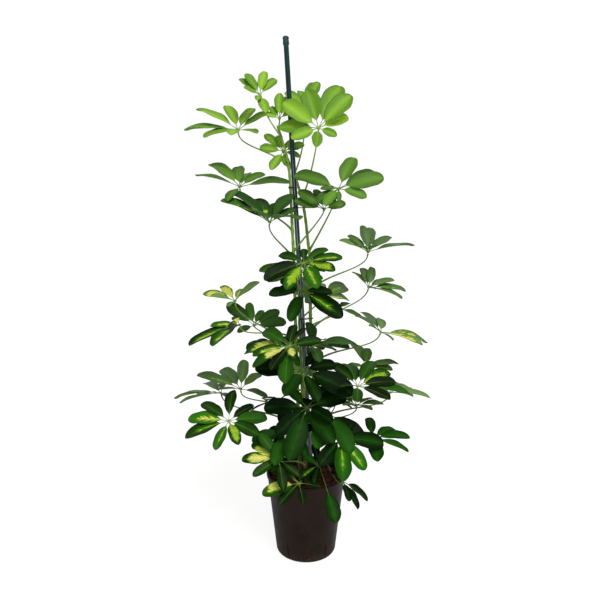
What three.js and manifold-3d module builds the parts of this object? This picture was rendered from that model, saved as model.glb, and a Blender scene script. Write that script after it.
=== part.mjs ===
// Potted umbrella plant: a variegated dwarf umbrella tree with four leafy stems, tied to a
// coated steel stake, standing in a brown culture pot filled with expanded clay pebbles.
// Millimetres, +Z up, origin at the middle of the pot's flat base. The front is -Y.

import * as THREE from "three";
import { mergeVertices } from "three/addons/utils/BufferGeometryUtils.js";
import Module from "manifold-3d";

const wasm = await Module();
wasm.setup();

// Driving dimensions
const DEGREE = Math.PI / 180;
const GAP = 0.3;
const UP = new THREE.Vector3(0, 0, 1);
const RIGHT = new THREE.Vector3(1, 0, 0);

const POT = {
  height: 190,
  rimRadius: 90,
  baseRadius: 68,
  wall: 2.4,
  floor: 4,
  edgeRound: 10,
  edgeSteps: 3,
  innerRound: 6,
  lipWidth: 2,
  lipHeight: 9,
  lipSlant: 1.5,
  lipFlare: 1.6,
  sides: 32,
};
const SLOT = { count: 10, width: 3.4, depth: 24, bottom: 13, top: 40, firstTurn: -89 };
const CLAY = { level: 176, pitch: 21, rise: 5, under: 5, ease: 0.3 };

const STAKE = { radius: 5.5, bottom: [22, 0, 24], top: [-44, 0, 1146], sides: 12 };
const CAP = { radius: 6.8, depth: 12, roof: 3, shoulder: 0.5, dome: 3, crownShare: 0.7, sides: 12 };

// Each stem: radius at the foot and at the tip, then places as height, x, y from the foot up
const STEMS = {
  left: {
    radii: [5, 2.6],
    places: [[60, -12, -8], [180, -14, -10], [400, -20, -10], [540, -24, -9], [667, -27, -13],
      [777, -32, -13], [860, -36, -10], [902, -42, -8], [968, -62, -4]],
  },
  right: {
    radii: [5.5, 2.6],
    places: [[60, 30, 10], [180, 30, 10], [400, 18, 12], [540, 10, 12], [667, 9, 12],
      [718, 4, 12], [790, -5, 15], [853, -21, 17], [905, -43, 16]],
  },
  centre: {
    radii: [4.6, 3],
    places: [[60, 6, 26], [180, 2, 24], [400, -10, 18], [540, -15, 15], [650, -13, 15]],
  },
  front: {
    radii: [5, 3],
    places: [[60, 4, -28], [180, 0, -36], [330, -6, -42], [440, -4, -38]],
  },
};
const STEM_SIDES = 8;
const STEM_STEP = 55;

// Twist ties: height on the stake, and the stem that each one holds
const TIES = [
  { name: "tie_top", height: 838, stem: "left" },
  { name: "tie_middle", height: 795, stem: "right" },
  { name: "tie_low", height: 548, stem: "right" },
];
const TIE = { wire: 1, ease: 0.3, halfTurnSteps: 6, sides: 5 };

// Each leaflet's droop and width are its look's, times a share between the two given here
const LEAFLET = {
  stalkShare: 0.24,
  stalkHalfWidth: 1.2,
  midribHalfThickness: 0.7,
  widthShare: 0.165,
  fold: 14,
  rollRange: 30,
  droopShares: [0.8, 1.2],
  widthShares: [0.92, 1.08],
};
const SEEDS_A_LEAF = 16;
// Each station: share of the blade's length, and half width as a share of the widest.
// Short blades have fewer.
const BLADE = [[0.2, 0.66], [0.52, 1], [0.84, 0.7]];
const SHORT_BLADE = [[0.34, 0.95], [0.76, 0.85]];
const SHORT_LENGTH = 70;
// A petiole leaves its stem outward and upward and comes to its hub from under it, each by
// a share of the distance, and thins towards the hub
const PETIOLE = {
  rootRadius: 2.6,
  tipRadius: 1.4,
  stemShare: 0.7,
  outward: 0.22,
  upward: 0.28,
  arrival: 0.25,
  taper: 1.6,
  sides: 4,
};
const HUB = { radius: 4, halfHeight: 0.9, stalkDrop: 5, widestSide: 70, parting: 16 };

// Ways to bend a leaflet clear of its neighbours, tried in this order: size, lift and turn
const BEND_SIZES = [1, 0.85, 0.7];
const BEND_LIFTS = [0, 12, -12, 24, -24, 38, -38];
const BEND_TURNS = [0, 8, -8];
const BEND_CLEARANCE = 0.7;

// Looks: droop of a leaflet from root to tip, and how broad it is
const LOOKS = {
  young: { colour: 0x6ba32a, droop: 16, broad: 1.25 },
  green: { colour: 0x2c6418, droop: 24, broad: 1.12 },
  dark: { colour: 0x14380f, droop: 28, broad: 1.2 },
  splashed: { colour: 0x8a9a34, droop: 24, broad: 1.08 },
};

// The leaves, from the top of the plant down. Each has its stem and the height of its root
// there, the place of its hub, the compass turn and tilt that its face has, the look, and
// then each leaflet's turn round the hub, its length and, where it needs them, its lift and
// the share of its length that is stalk.
const LEAVES = [
  leaf("left", 945, [-99, -10, 1030], [-90, 48], "young", 10,
    [[233, 58, 5], [217, 56, 2], [168, 55, 15], [140, 54], [14, 60, -10], [262, 37, 15],
      [355, 36, 9]]),
  leaf("left", 962, [-58, 0, 984], [-90, 60], "young", 5,
    [[180, 55, 15], [160, 58], [212, 39, -10], [260, 30, 5], [100, 38]]),
  leaf("right", 868, [0, 50, 1018], [-90, 40], "young", 15,
    [[194, 59, -9], [165, 74], [150, 64, 15], [235, 60], [95, 50]]),
  leaf("left", 880, [-149, 20, 963], [-90, 15], "young", 23,
    [[272, 118, -23], [304, 84, -30], [255, 105], [211, 74, 16], [150, 74, 10], [110, 85],
      [47, 62, -25], [353, 69, -25]]),
  leaf("right", 815, [25, -30, 959], [-90, 70], "young", 0,
    [[156, 115, -5], [136, 100, 5], [118, 73, -10], [62, 43, 5], [194, 96, -4], [234, 92, -5],
      [264, 84, -8], [297, 66, 10], [353, 57, 20]]),
  leaf("right", 900, [-50, 8, 916], [-90, 60], "young", 0,
    [[223, 61], [252, 53], [325, 57, 3], [11, 35, 14], [203, 39], [149, 34], [112, 49],
      [75, 39, 18]]),
  leaf("left", 745, [-144, -10, 839], [-90, 20], "green", 18,
    [[263, 100, -5], [226, 104], [187, 84, -2], [169, 71, -9], [133, 73, -6], [94, 110, -12],
      [341, 66, -29]]),
  leaf("right", 700, [67, -50, 833], [-90, 60], "green", 0,
    [[156, 86], [117, 88], [103, 98, 5], [70, 62], [247, 102, -5], [277, 40, 10], [303, 59, -4],
      [325, 58, 10], [359, 31]]),
  leaf("left", 700, [37, -38, 791], [-90, 60], "green", 0,
    [[202, 52, 2], [228, 68, 10], [254, 66, 4], [136, 45, -5], [104, 48, 5]]),
  leaf("left", 685, [-78, -50, 763], [-60, 18], "dark", 20,
    [[241, 112, -4], [215, 110, 2], [266, 80, 5], [304, 86, 8], [178, 88, -2], [140, 66, 4],
      [110, 84, -2], [2, 120, 1], [84, 67, 7]]),
  leaf("right", 610, [136, 0, 698], [-90, 15], "green", 25,
    [[263, 69, -4], [238, 60, 5], [195, 65, 25], [170, 70, 10], [127, 73, -7], [92, 104, -17],
      [20, 50, 10], [325, 50, 5]]),
  leaf("right", 610, [-6, -80, 680], [-100, 35], "splashed", 0,
    [[137, 66], [109, 81], [88, 84], [65, 77, 5], [26, 90, 1], [344, 88], [311, 96, 3], [293, 71],
      [242, 67, -4], [188, 48]]),
  leaf("right", 520, [141, 20, 617], [-60, 20], "green", 5,
    [[196, 58, 11], [168, 61, 18], [144, 56, 20], [102, 50, 4], [86, 68, 10], [71, 87, -2],
      [28, 84, -1], [343, 42, 16]]),
  leaf("left", 560, [-10, -60, 619], [-90, 45], "dark", 0,
    [[270, 56], [292, 77, 4], [344, 84], [50, 109], [85, 65], [238, 55]]),
  leaf("centre", 540, [37, 34, 595], [-60, 30], "splashed", 0,
    [[112, 97, -3], [92, 86, -14], [65, 60, 5], [155, 49, 5], [214, 63, -4], [286, 69, -5]]),
  leaf("left", 478, [-159, 0, 589], [-90, 20], "splashed", 15,
    [[259, 76, -7], [283, 57, 4], [217, 60, -1], [164, 46, -4], [115, 70, 15], [345, 42, -5]]),
  leaf("centre", 600, [-10, 115, 643], [90, 25], "green", 0,
    [[0, 120, -15], [50, 112], [95, 104], [150, 60], [196, 67, 14], [266, 57], [306, 65, -4]]),
  leaf("centre", 510, [74, 40, 566], [-60, 30], "green", 0,
    [[116, 50, -5], [45, 60], [195, 44], [270, 42], [334, 38, 9]]),
  leaf("left", 500, [-145, -40, 542], [-120, 20], "splashed", 0,
    [[305, 64, 10], [328, 120], [4, 110, 6], [21, 64, 9], [254, 54, -18], [230, 50]]),
  leaf("left", 460, [-120, 36, 527], [-90, 60], "dark", 0,
    [[232, 82, 5], [195, 62, -5], [155, 46, -10], [122, 69], [94, 76, 5], [296, 43, 9]]),
  leaf("right", 440, [165, -20, 522], [-30, 20], "splashed", 0,
    [[45, 120, -1], [152, 84, 7], [184, 69, 11], [238, 41, 18], [340, 39], [28, 96, 3],
      [120, 58, 13]]),
  leaf("left", 400, [-36, -100, 508], [-110, 35], "splashed", 0,
    [[268, 120, -18], [296, 80], [323, 92, 5], [340, 76, 5], [5, 102], [238, 92, -6], [187, 63],
      [168, 58], [32, 59, 5], [109, 68]]),
  leaf("right", 430, [14, -46, 497], [-60, 8], "dark", 0,
    [[83, 112, -3], [102, 78, -18], [126, 68, -4], [169, 68, 20], [342, 67, -11], [52, 52, -6]]),
  leaf("centre", 440, [-6, 140, 450], [85, 25], "dark", 0,
    [[0, 92], [44, 92], [104, 70], [153, 60], [208, 60], [282, 120, 4], [329, 92, 9]]),
  leaf("centre", 400, [-78, 120, 467], [115, 25], "dark", 0,
    [[17, 111, 4], [61, 66, 10], [108, 72], [160, 58, -5], [212, 60], [262, 74, -5],
      [311, 103, -13]]),
  leaf("front", 400, [-8, -64, 446], [-80, 40], "dark", 0,
    [[13, 90, 5], [56, 120], [102, 80, -5], [144, 68, 9], [268, 105, 5], [325, 86, 8], [218, 66]]),
  leaf("right", 370, [138, 20, 432], [-60, 12], "green", 0,
    [[164, 97, 10], [145, 63, 23], [86, 91], [77, 70, -6], [238, 42, 1], [320, 42]]),
  leaf("right", 330, [109, -80, 416], [-90, 20], "splashed", 0,
    [[190, 97, -4], [153, 95, 5], [124, 92], [100, 86], [82, 112, -5], [48, 84, 5], [354, 65, 6],
      [216, 85, 6], [253, 84, -5], [306, 63, 2]]),
  leaf("centre", 330, [10, 150, 400], [90, 20], "dark", 0,
    [[356, 105, -9], [27, 110, -9], [104, 74, 5], [156, 60], [208, 60], [268, 94], [292, 103]]),
  leaf("left", 330, [-150, 10, 383], [-90, 10], "green", 15,
    [[257, 110, -2], [215, 92, -4], [176, 78, 22], [138, 68, -2], [69, 68, -23], [285, 56, -10]]),
  leaf("right", 300, [195, 20, 372], [-30, 15], "green", 0,
    [[43, 104], [78, 86, -1], [102, 66, 5], [185, 46], [270, 42], [1, 56, 14]]),
  leaf("front", 340, [1, -78, 369], [-90, 50], "dark", 0,
    [[32, 107, 14], [49, 79, 15], [106, 91, -4], [132, 68], [223, 68, -5], [269, 95, -5], [313, 90],
      [333, 120, -5]]),
  leaf("left", 290, [-203, 60, 359], [180, 10], "green", 0,
    [[350, 120], [15, 100], [303, 88, 8], [43, 67, 14], [115, 52], [261, 68, 13]]),
  leaf("right", 290, [114, -20, 355], [-90, 5], "green", 0,
    [[227, 56, 5], [294, 37, 9], [128, 50, 5], [95, 62], [50, 42], [206, 54, 20]]),
  leaf("right", 285, [45, -58, 350], [-60, 40], "dark", 0,
    [[359, 112, -5], [29, 104, 2], [120, 66, 15], [137, 67, 5], [222, 69, -5], [249, 84, 0],
      [320, 100]]),
  leaf("front", 250, [-170, -60, 332], [-100, 35], "splashed", 0,
    [[187, 86], [239, 86], [271, 94], [297, 101, -4], [349, 73, -5], [31, 74, 5], [65, 86, 5],
      [98, 86], [135, 66]]),
  leaf("left", 255, [-67, 105, 327], [125, 22], "green", 0,
    [[355, 72, 5], [48, 78, -9], [109, 58, 10], [156, 56], [208, 52, 10], [264, 76, 9], [330, 90]]),
  leaf("front", 300, [72, -112, 313], [-80, 45], "green", 0,
    [[249, 68], [316, 82, 4], [352, 97, 5], [30, 82, -4], [179, 46], [135, 48, 5], [84, 100]]),
  leaf("left", 270, [-43, -76, 312], [-110, 35], "dark", 0,
    [[0, 84], [50, 82], [105, 76], [154, 68, 4], [210, 60], [265, 45, -5], [300, 78, 5]]),
  leaf("centre", 250, [74, 105, 320], [55, 22], "dark", 0,
    [[0, 64, 5], [52, 80], [104, 70], [156, 56], [208, 58], [260, 52, -5], [312, 60]]),
  leaf("right", 240, [149, -40, 285], [-60, 15], "green", 0,
    [[155, 67, 10], [103, 74], [75, 91], [34, 84], [331, 86], [235, 76, 5]]),
  leaf("front", 220, [-59, -112, 266], [-90, 45], "splashed", 0,
    [[237, 71, -5], [268, 80, -5], [308, 68, 10], [212, 69, 5], [180, 70], [10, 68], [50, 58],
      [140, 58]]),
  leaf("front", 230, [27, -92, 246], [-90, 45], "green", 0,
    [[241, 42], [308, 56], [345, 44], [15, 128, 0, 0.52], [105, 40], [193, 50]]),
  leaf("centre", 208, [4, 118, 252], [90, 30], "green", 0,
    [[0, 84], [52, 78], [104, 66], [156, 54], [208, 54], [260, 68], [312, 80]]),
  leaf("front", 200, [-16, -112, 213], [-90, 30], "splashed", 0,
    [[293, 84, 4], [322, 66], [10, 52], [77, 48], [247, 80, 14], [224, 120, 8], [132, 64]]),
  leaf("right", 222, [80, -66, 196], [-30, 35], "green", -10,
    [[27, 76], [345, 68], [93, 32, -15], [318, 55, 10], [180, 34]]),
];

function leaf(stem, root, hub, face, look, lift, leaflets) {
  return { stem, root, hub: new THREE.Vector3(...hub), face, look, lift, leaflets };
}

// A steady pseudo-random number from 0 to 1 for two whole numbers
function chance(a, b) {
  const wave = Math.sin(a * 12.9898 + b * 78.233) * 43758.5453;
  return wave - Math.floor(wave);
}

function between([low, high], a, b) {
  return low + (high - low) * chance(a, b);
}

function mix(a, shareA, b, shareB) {
  return a.clone().multiplyScalar(shareA).addScaledVector(b, shareB);
}

function onCircle(centre, radius, turn) {
  const out = new THREE.Vector3(Math.cos(turn), Math.sin(turn), 0);
  return centre.clone().addScaledVector(out, radius);
}

// Meshes and solids

function toSolid(geometry) {
  const bare = geometry.clone();
  bare.deleteAttribute("normal");
  bare.deleteAttribute("uv");
  const merged = mergeVertices(bare, 1e-4);
  const vertProperties = new Float32Array(merged.attributes.position.array);
  const triVerts = new Uint32Array(merged.index.array);
  return new wasm.Manifold(new wasm.Mesh({ numProp: 3, vertProperties, triVerts }));
}

function toGeometry(solid) {
  const mesh = solid.getMesh();
  const geometry = new THREE.BufferGeometry();
  geometry.setAttribute("position", new THREE.BufferAttribute(mesh.vertProperties, 3));
  geometry.setIndex(new THREE.BufferAttribute(mesh.triVerts, 1));
  geometry.computeVertexNormals();
  return geometry;
}

// A closed skin put together from rings of points, each ring counter-clockwise as seen
// from the ring that follows it
class Skin {
  constructor() {
    this.points = [];
    this.triangles = [];
  }

  ring(points) {
    const start = this.points.length;
    this.points.push(...points);
    return points.map((_, k) => start + k);
  }

  // Joins two rings of equal count, or a ring to a tip of one point. The diagonals of a
  // blade's band all run from its edges to its midrib, on both faces alike.
  band(low, high, blade = false) {
    low.forEach((a, k) => {
      const b = low[(k + 1) % low.length];
      if (high.length === 1) {
        this.triangles.push(a, b, high[0]);
        return;
      }
      const c = high[(k + 1) % low.length];
      const d = high[k];
      const split = blade && k % 2 === 1 ? [a, b, d, b, c, d] : [a, b, c, a, c, d];
      this.triangles.push(...split);
    });
  }

  // Joins two rings of unequal count by the turn of their points round one axis
  zip(low, lowTurns, high, highTurns) {
    let i = 0;
    let j = 0;
    const turnOf = (turns, k) => turns[k % turns.length] + 360 * Math.floor(k / turns.length);
    while (i < low.length || j < high.length) {
      const a = low[i % low.length];
      const b = high[j % high.length];
      const lowFirst = turnOf(lowTurns, i + 1) < turnOf(highTurns, j + 1);
      if (j === high.length || (i < low.length && lowFirst)) {
        i += 1;
        this.triangles.push(a, low[i % low.length], b);
      } else {
        j += 1;
        this.triangles.push(a, high[j % high.length], b);
      }
    }
  }

  // Closes a ring flat, facing along the skin or back against it
  close(ring, ahead) {
    for (let k = 1; k + 1 < ring.length; k += 1) {
      this.triangles.push(ring[0], ahead ? ring[k] : ring[k + 1], ahead ? ring[k + 1] : ring[k]);
    }
  }

  geometry() {
    const geometry = new THREE.BufferGeometry();
    const numbers = this.points.flatMap((point) => point.toArray());
    geometry.setAttribute("position", new THREE.Float32BufferAttribute(numbers, 3));
    geometry.setIndex(this.triangles);
    return geometry;
  }
}

function loft(rings, blade = false) {
  const skin = new Skin();
  const indices = rings.map((ring) => skin.ring(ring));
  for (let k = 0; k + 1 < indices.length; k += 1) {
    skin.band(indices[k], indices[k + 1], blade);
  }
  skin.close(indices[0], false);
  skin.close(indices[indices.length - 1], true);
  return toSolid(skin.geometry());
}

// Ring of points round a place, square to the way that a tube runs there
function tubeRing(place, way, side, radius, sides) {
  const right = side.clone().addScaledVector(way, -side.dot(way)).normalize();
  const ahead = new THREE.Vector3().crossVectors(way, right);
  const ring = [];
  for (let k = 0; k < sides; k += 1) {
    const turn = ((k + 0.5) / sides) * 2 * Math.PI;
    const point = place.clone();
    point.addScaledVector(right, radius * Math.cos(turn));
    point.addScaledVector(ahead, radius * Math.sin(turn));
    ring.push(point);
  }
  return ring;
}

// Pot and filling

function potSolid() {
  const slope = (POT.rimRadius - POT.baseRadius) / POT.height;
  const outside = (z) => POT.baseRadius + slope * z;
  const lipBottom = POT.height - POT.lipHeight;
  const profile = [new THREE.Vector2(0, 0)];
  for (let k = 0; k <= POT.edgeSteps; k += 1) {
    const turn = (k / POT.edgeSteps) * 90 * DEGREE;
    const radius = outside(POT.edgeRound) - POT.edgeRound * (1 - Math.sin(turn));
    profile.push(new THREE.Vector2(radius, POT.edgeRound * (1 - Math.cos(turn))));
  }
  profile.push(new THREE.Vector2(outside(lipBottom), lipBottom));
  profile.push(new THREE.Vector2(outside(lipBottom) + POT.lipWidth, lipBottom + POT.lipSlant));
  profile.push(new THREE.Vector2(POT.rimRadius + POT.lipFlare, POT.height - POT.lipSlant));
  profile.push(new THREE.Vector2(POT.rimRadius, POT.height));
  profile.push(new THREE.Vector2(POT.rimRadius - POT.wall, POT.height - POT.lipSlant / 2));
  profile.push(new THREE.Vector2(outside(POT.edgeRound) - POT.wall, POT.edgeRound));
  profile.push(new THREE.Vector2(outside(POT.floor) - POT.innerRound, POT.floor));
  profile.push(new THREE.Vector2(0, POT.floor));
  const lathe = new THREE.LatheGeometry(profile, POT.sides);
  lathe.rotateX(Math.PI / 2);
  let pot = toSolid(lathe);
  for (let k = 0; k < SLOT.count; k += 1) {
    const slot = new THREE.BoxGeometry(SLOT.depth, SLOT.width, SLOT.top - SLOT.bottom);
    slot.translate(POT.baseRadius, 0, (SLOT.top + SLOT.bottom) / 2);
    slot.rotateZ((SLOT.firstTurn + (k * 360) / SLOT.count) * DEGREE);
    pot = pot.subtract(toSolid(slot));
  }
  return pot;
}

// Filling of the pot, with a pebbled top
function claySolid(standing) {
  const slope = (POT.rimRadius - POT.baseRadius) / POT.height;
  const inside = (z) => POT.baseRadius + slope * z - POT.wall - GAP - CLAY.ease;
  const bodyBottom = POT.floor + GAP;
  const profile = [
    new THREE.Vector2(0, bodyBottom),
    new THREE.Vector2(inside(0) - POT.innerRound, bodyBottom),
    new THREE.Vector2(inside(POT.edgeRound), POT.edgeRound + 1),
    new THREE.Vector2(inside(POT.height), POT.height),
    new THREE.Vector2(0, POT.height),
  ];
  const body = new THREE.LatheGeometry(profile, POT.sides);
  body.rotateX(Math.PI / 2);
  return toSolid(body).intersect(toSolid(pebbleField())).subtract(standing);
}

// A block on a triangular grid, wider than the pot. Every third point of its top is the
// crest of a pebble, and the points between are low.
function pebbleField() {
  const step = CLAY.pitch / Math.sqrt(3);
  const rowStep = (step * Math.sqrt(3)) / 2;
  const half = Math.ceil(POT.rimRadius / rowStep) + 1;
  const span = 2 * half + 1;
  const shiftOf = (row) => Math.round(row / 2);
  const topHeight = (row, column) => {
    const crest = (column - shiftOf(row) - row) % 3 === 0;
    const lift = crest ? CLAY.rise * between([0.5, 1], row, column) : -CLAY.under * chance(column, row);
    return CLAY.level + lift;
  };
  const top = [];
  const bottom = [];
  for (let row = -half; row <= half; row += 1) {
    for (let column = -half; column <= half; column += 1) {
      const x = (column + row / 2 - shiftOf(row)) * step;
      top.push(new THREE.Vector3(x, row * rowStep, topHeight(row, column)));
      bottom.push(new THREE.Vector3(x, row * rowStep, -POT.floor));
    }
  }
  const skin = new Skin();
  const above = skin.ring(top);
  const below = skin.ring(bottom);
  const at = (layer, row, column) => layer[row * span + column];
  for (let row = 0; row + 1 < span; row += 1) {
    for (let column = 0; column + 1 < span; column += 1) {
      const leans = shiftOf(row - half) === shiftOf(row + 1 - half);
      for (const layer of [above, below]) {
        const a = at(layer, row, column);
        const b = at(layer, row, column + 1);
        const c = at(layer, row + 1, column);
        const d = at(layer, row + 1, column + 1);
        const quad = leans ? [a, b, c, b, d, c] : [a, b, d, a, d, c];
        skin.triangles.push(...(layer === above ? quad : quad.reverse()));
      }
    }
  }
  const wall = (rowA, columnA, rowB, columnB) => {
    const [a, b] = [at(above, rowA, columnA), at(above, rowB, columnB)];
    const [c, d] = [at(below, rowA, columnA), at(below, rowB, columnB)];
    skin.triangles.push(b, a, c, b, c, d);
  };
  for (let k = 0; k + 1 < span; k += 1) {
    wall(0, k, 0, k + 1);
    wall(k, span - 1, k + 1, span - 1);
    wall(span - 1, k + 1, span - 1, k);
    wall(k + 1, 0, k, 0);
  }
  return skin.geometry();
}

// Stake, cap and ties

const stakeFoot = new THREE.Vector3(...STAKE.bottom);
const stakeTop = new THREE.Vector3(...STAKE.top);
const stakeWay = stakeTop.clone().sub(stakeFoot).normalize();

function stakePlace(height) {
  const share = (height - stakeFoot.z) / (stakeTop.z - stakeFoot.z);
  return stakeFoot.clone().lerp(stakeTop, share);
}

function stakeSolid(extra) {
  const foot = stakeFoot.clone().addScaledVector(stakeWay, -extra);
  const top = stakeTop.clone().addScaledVector(stakeWay, extra);
  const radius = STAKE.radius + extra;
  return loft([foot, top].map((end) => tubeRing(end, stakeWay, RIGHT, radius, STAKE.sides)));
}

function capSolid() {
  const bore = STAKE.radius + GAP;
  const profile = [
    new THREE.Vector2(bore, -CAP.depth),
    new THREE.Vector2(CAP.radius, -CAP.depth),
    new THREE.Vector2(CAP.radius, CAP.roof - CAP.shoulder),
    new THREE.Vector2(CAP.radius * CAP.crownShare, CAP.roof + CAP.dome * CAP.crownShare),
    new THREE.Vector2(0, CAP.roof + CAP.dome),
    new THREE.Vector2(0, GAP),
    new THREE.Vector2(bore, GAP),
    new THREE.Vector2(bore, -CAP.depth),
  ];
  const cap = new THREE.LatheGeometry(profile, CAP.sides);
  cap.rotateX(Math.PI / 2);
  cap.applyQuaternion(new THREE.Quaternion().setFromUnitVectors(UP, stakeWay));
  cap.translate(...stakeTop.toArray());
  return toSolid(cap);
}

// Closed wire round the stake and one stem: a half turn round each, and straight between
function tieSolid(tie) {
  const post = stakePlace(tie.height);
  const held = stemPlace(tie.stem, tie.height);
  const turn = Math.atan2(held.y - post.y, held.x - post.x);
  const around = GAP + TIE.ease + TIE.wire;
  const ends = [
    { centre: post, reach: STAKE.radius + around, from: 90 },
    { centre: held, reach: stemRadius(tie.stem, tie.height) + around, from: 270 },
  ];
  const middle = [];
  for (const { centre, reach, from } of ends) {
    for (let k = 0; k <= TIE.halfTurnSteps; k += 1) {
      const swing = turn + (from + (k * 180) / TIE.halfTurnSteps) * DEGREE;
      middle.push(onCircle(centre, reach, swing));
    }
  }
  const skin = new Skin();
  const rings = middle.map((place, k) => {
    const before = middle[(k + middle.length - 1) % middle.length];
    const after = middle[(k + 1) % middle.length];
    const way = after.clone().sub(before).normalize();
    return skin.ring(tubeRing(place, way, UP, TIE.wire, TIE.sides));
  });
  rings.forEach((ring, k) => skin.band(ring, rings[(k + 1) % rings.length]));
  return toSolid(skin.geometry());
}

// Stems

// Place on a stem's axis at a height: a smooth curve through the stem's places
function stemPlace(name, height) {
  const places = STEMS[name].places;
  let i = 0;
  while (i + 2 < places.length && height > places[i + 1][0]) {
    i += 1;
  }
  const slopeAt = (k, axis) => {
    const before = places[Math.max(k - 1, 0)];
    const after = places[Math.min(k + 1, places.length - 1)];
    return (after[axis] - before[axis]) / (after[0] - before[0]);
  };
  const [z0, z1] = [places[i][0], places[i + 1][0]];
  const reach = z1 - z0;
  const t = (height - z0) / reach;
  const smooth = (axis) => {
    const a = places[i][axis];
    const b = places[i + 1][axis];
    const low = (2 * t ** 3 - 3 * t ** 2 + 1) * a + (t ** 3 - 2 * t ** 2 + t) * reach * slopeAt(i, axis);
    const high = (3 * t ** 2 - 2 * t ** 3) * b + (t ** 3 - t ** 2) * reach * slopeAt(i + 1, axis);
    return low + high;
  };
  return new THREE.Vector3(smooth(1), smooth(2), height);
}

function stemTip(name) {
  const places = STEMS[name].places;
  return places[places.length - 1][0];
}

function stemRadius(name, height) {
  const foot = STEMS[name].places[0][0];
  const [thick, thin] = STEMS[name].radii;
  return thick + ((thin - thick) * (height - foot)) / (stemTip(name) - foot);
}

function stemSolid(name, extra) {
  const foot = STEMS[name].places[0][0];
  const tip = stemTip(name);
  const steps = Math.round((tip - foot) / STEM_STEP);
  const rings = [];
  for (let k = 0; k <= steps; k += 1) {
    const height = foot + ((tip - foot) * k) / steps;
    const way = stemPlace(name, height + 1).sub(stemPlace(name, height - 1)).normalize();
    const end = k === 0 ? -extra : k === steps ? extra : 0;
    const place = stemPlace(name, height).addScaledVector(way, end);
    rings.push(tubeRing(place, way, RIGHT, stemRadius(name, height) + extra, STEM_SIDES));
  }
  return loft(rings);
}

// Leaves

// The whorl's own axes: out to its low side, across, and square to its face
function faceAxes([turn, tilt]) {
  const [t, s] = [turn * DEGREE, tilt * DEGREE];
  const low = new THREE.Vector3(Math.cos(t) * Math.cos(s), Math.sin(t) * Math.cos(s), -Math.sin(s));
  const normal = new THREE.Vector3(Math.cos(t) * Math.sin(s), Math.sin(t) * Math.sin(s), Math.cos(s));
  return { low, normal, across: new THREE.Vector3().crossVectors(normal, low) };
}

// Rings of the petiole from its root inside the stem to just under the hub
function petioleRings(row) {
  const { normal, across } = faceAxes(row.face);
  const root = stemPlace(row.stem, row.root);
  const under = row.hub.clone().addScaledVector(normal, -HUB.stalkDrop);
  const reach = root.distanceTo(under);
  const outward = under.clone().sub(root).setZ(0);
  if (outward.length() > 1) {
    outward.normalize();
  }
  const start = root.clone().addScaledVector(outward, reach * PETIOLE.outward);
  start.addScaledVector(UP, reach * PETIOLE.upward);
  const arrive = under.clone().addScaledVector(normal, -reach * PETIOLE.arrival);
  const path = new THREE.CubicBezierCurve3(root, start, arrive, under);
  const rootRadius = Math.min(PETIOLE.rootRadius, PETIOLE.stemShare * stemRadius(row.stem, row.root));
  let side = across;
  const rings = [1, 0.75, 0.5, 0.25, 0].map((t) => {
    const way = path.getTangent(t).normalize();
    side = side.clone().addScaledVector(way, -side.dot(way)).normalize();
    const radius = rootRadius + (PETIOLE.tipRadius - rootRadius) * Math.min(1, t * PETIOLE.taper);
    return tubeRing(path.getPoint(t), way, side, radius, PETIOLE.sides);
  });
  return rings.reverse();
}

// Rings of one leaflet from the foot of its blade to its tip, folded along the midrib and
// arched down. With a distance from the hub they begin on the stalk, that far out.
function bladeRings(row, seed, leaflet, bend, extra, stalkFrom = 0) {
  const [turn, length, lift = 0, stalk = LEAFLET.stalkShare] = leaflet;
  const { low, normal, across } = faceAxes(row.face);
  const look = LOOKS[row.look];
  const swing = (turn + bend.turn) * DEGREE;
  const out = mix(low, Math.cos(swing), across, Math.sin(swing));
  const droop = look.droop * between(LEAFLET.droopShares, seed, 1) * DEGREE;
  const rise = (row.lift + lift + bend.lift) * DEGREE + droop / 2;
  const roll = (chance(seed, 2) - 0.5) * LEAFLET.rollRange * DEGREE;
  const fold = LEAFLET.fold * DEGREE;
  const full = length * bend.size;
  const blade = (full * (1 - stalk)) / (1 - LEAFLET.stalkShare);
  const widest = blade * LEAFLET.widthShare * look.broad * between(LEAFLET.widthShares, seed, 3);
  const place = (s) => {
    const slant = rise - droop * s;
    const forward = (full * (Math.sin(rise) - Math.sin(slant))) / droop;
    const upward = (full * (Math.cos(slant) - Math.cos(rise))) / droop;
    return row.hub.clone().addScaledVector(out, forward).addScaledVector(normal, upward);
  };
  const section = (s, half, rim) => {
    const slant = rise - droop * s;
    const way = mix(out, Math.cos(slant), normal, Math.sin(slant));
    const flatTop = mix(normal, Math.cos(slant), out, -Math.sin(slant));
    const flatSide = new THREE.Vector3().crossVectors(flatTop, way);
    const top = mix(flatTop, Math.cos(roll), flatSide, Math.sin(roll));
    const side = new THREE.Vector3().crossVectors(top, way);
    const spread = (half + extra) * Math.cos(rim);
    const raise = (half + extra) * Math.sin(rim);
    const thick = LEAFLET.midribHalfThickness + extra;
    const at = (a, b) => place(s).addScaledVector(side, a).addScaledVector(top, b);
    return [at(spread, raise), at(0, thick), at(-spread, raise), at(0, -thick)];
  };
  const rings = (length < SHORT_LENGTH ? SHORT_BLADE : BLADE).map(([share, width]) =>
    section(stalk + (1 - stalk) * share, widest * width, fold));
  rings.unshift(section(stalk, LEAFLET.stalkHalfWidth, 0));
  if (stalkFrom > 0) {
    rings.unshift(section(stalkFrom / full, LEAFLET.stalkHalfWidth, 0));
  }
  rings.push([place(1 + extra / full)]);
  return rings;
}

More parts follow.
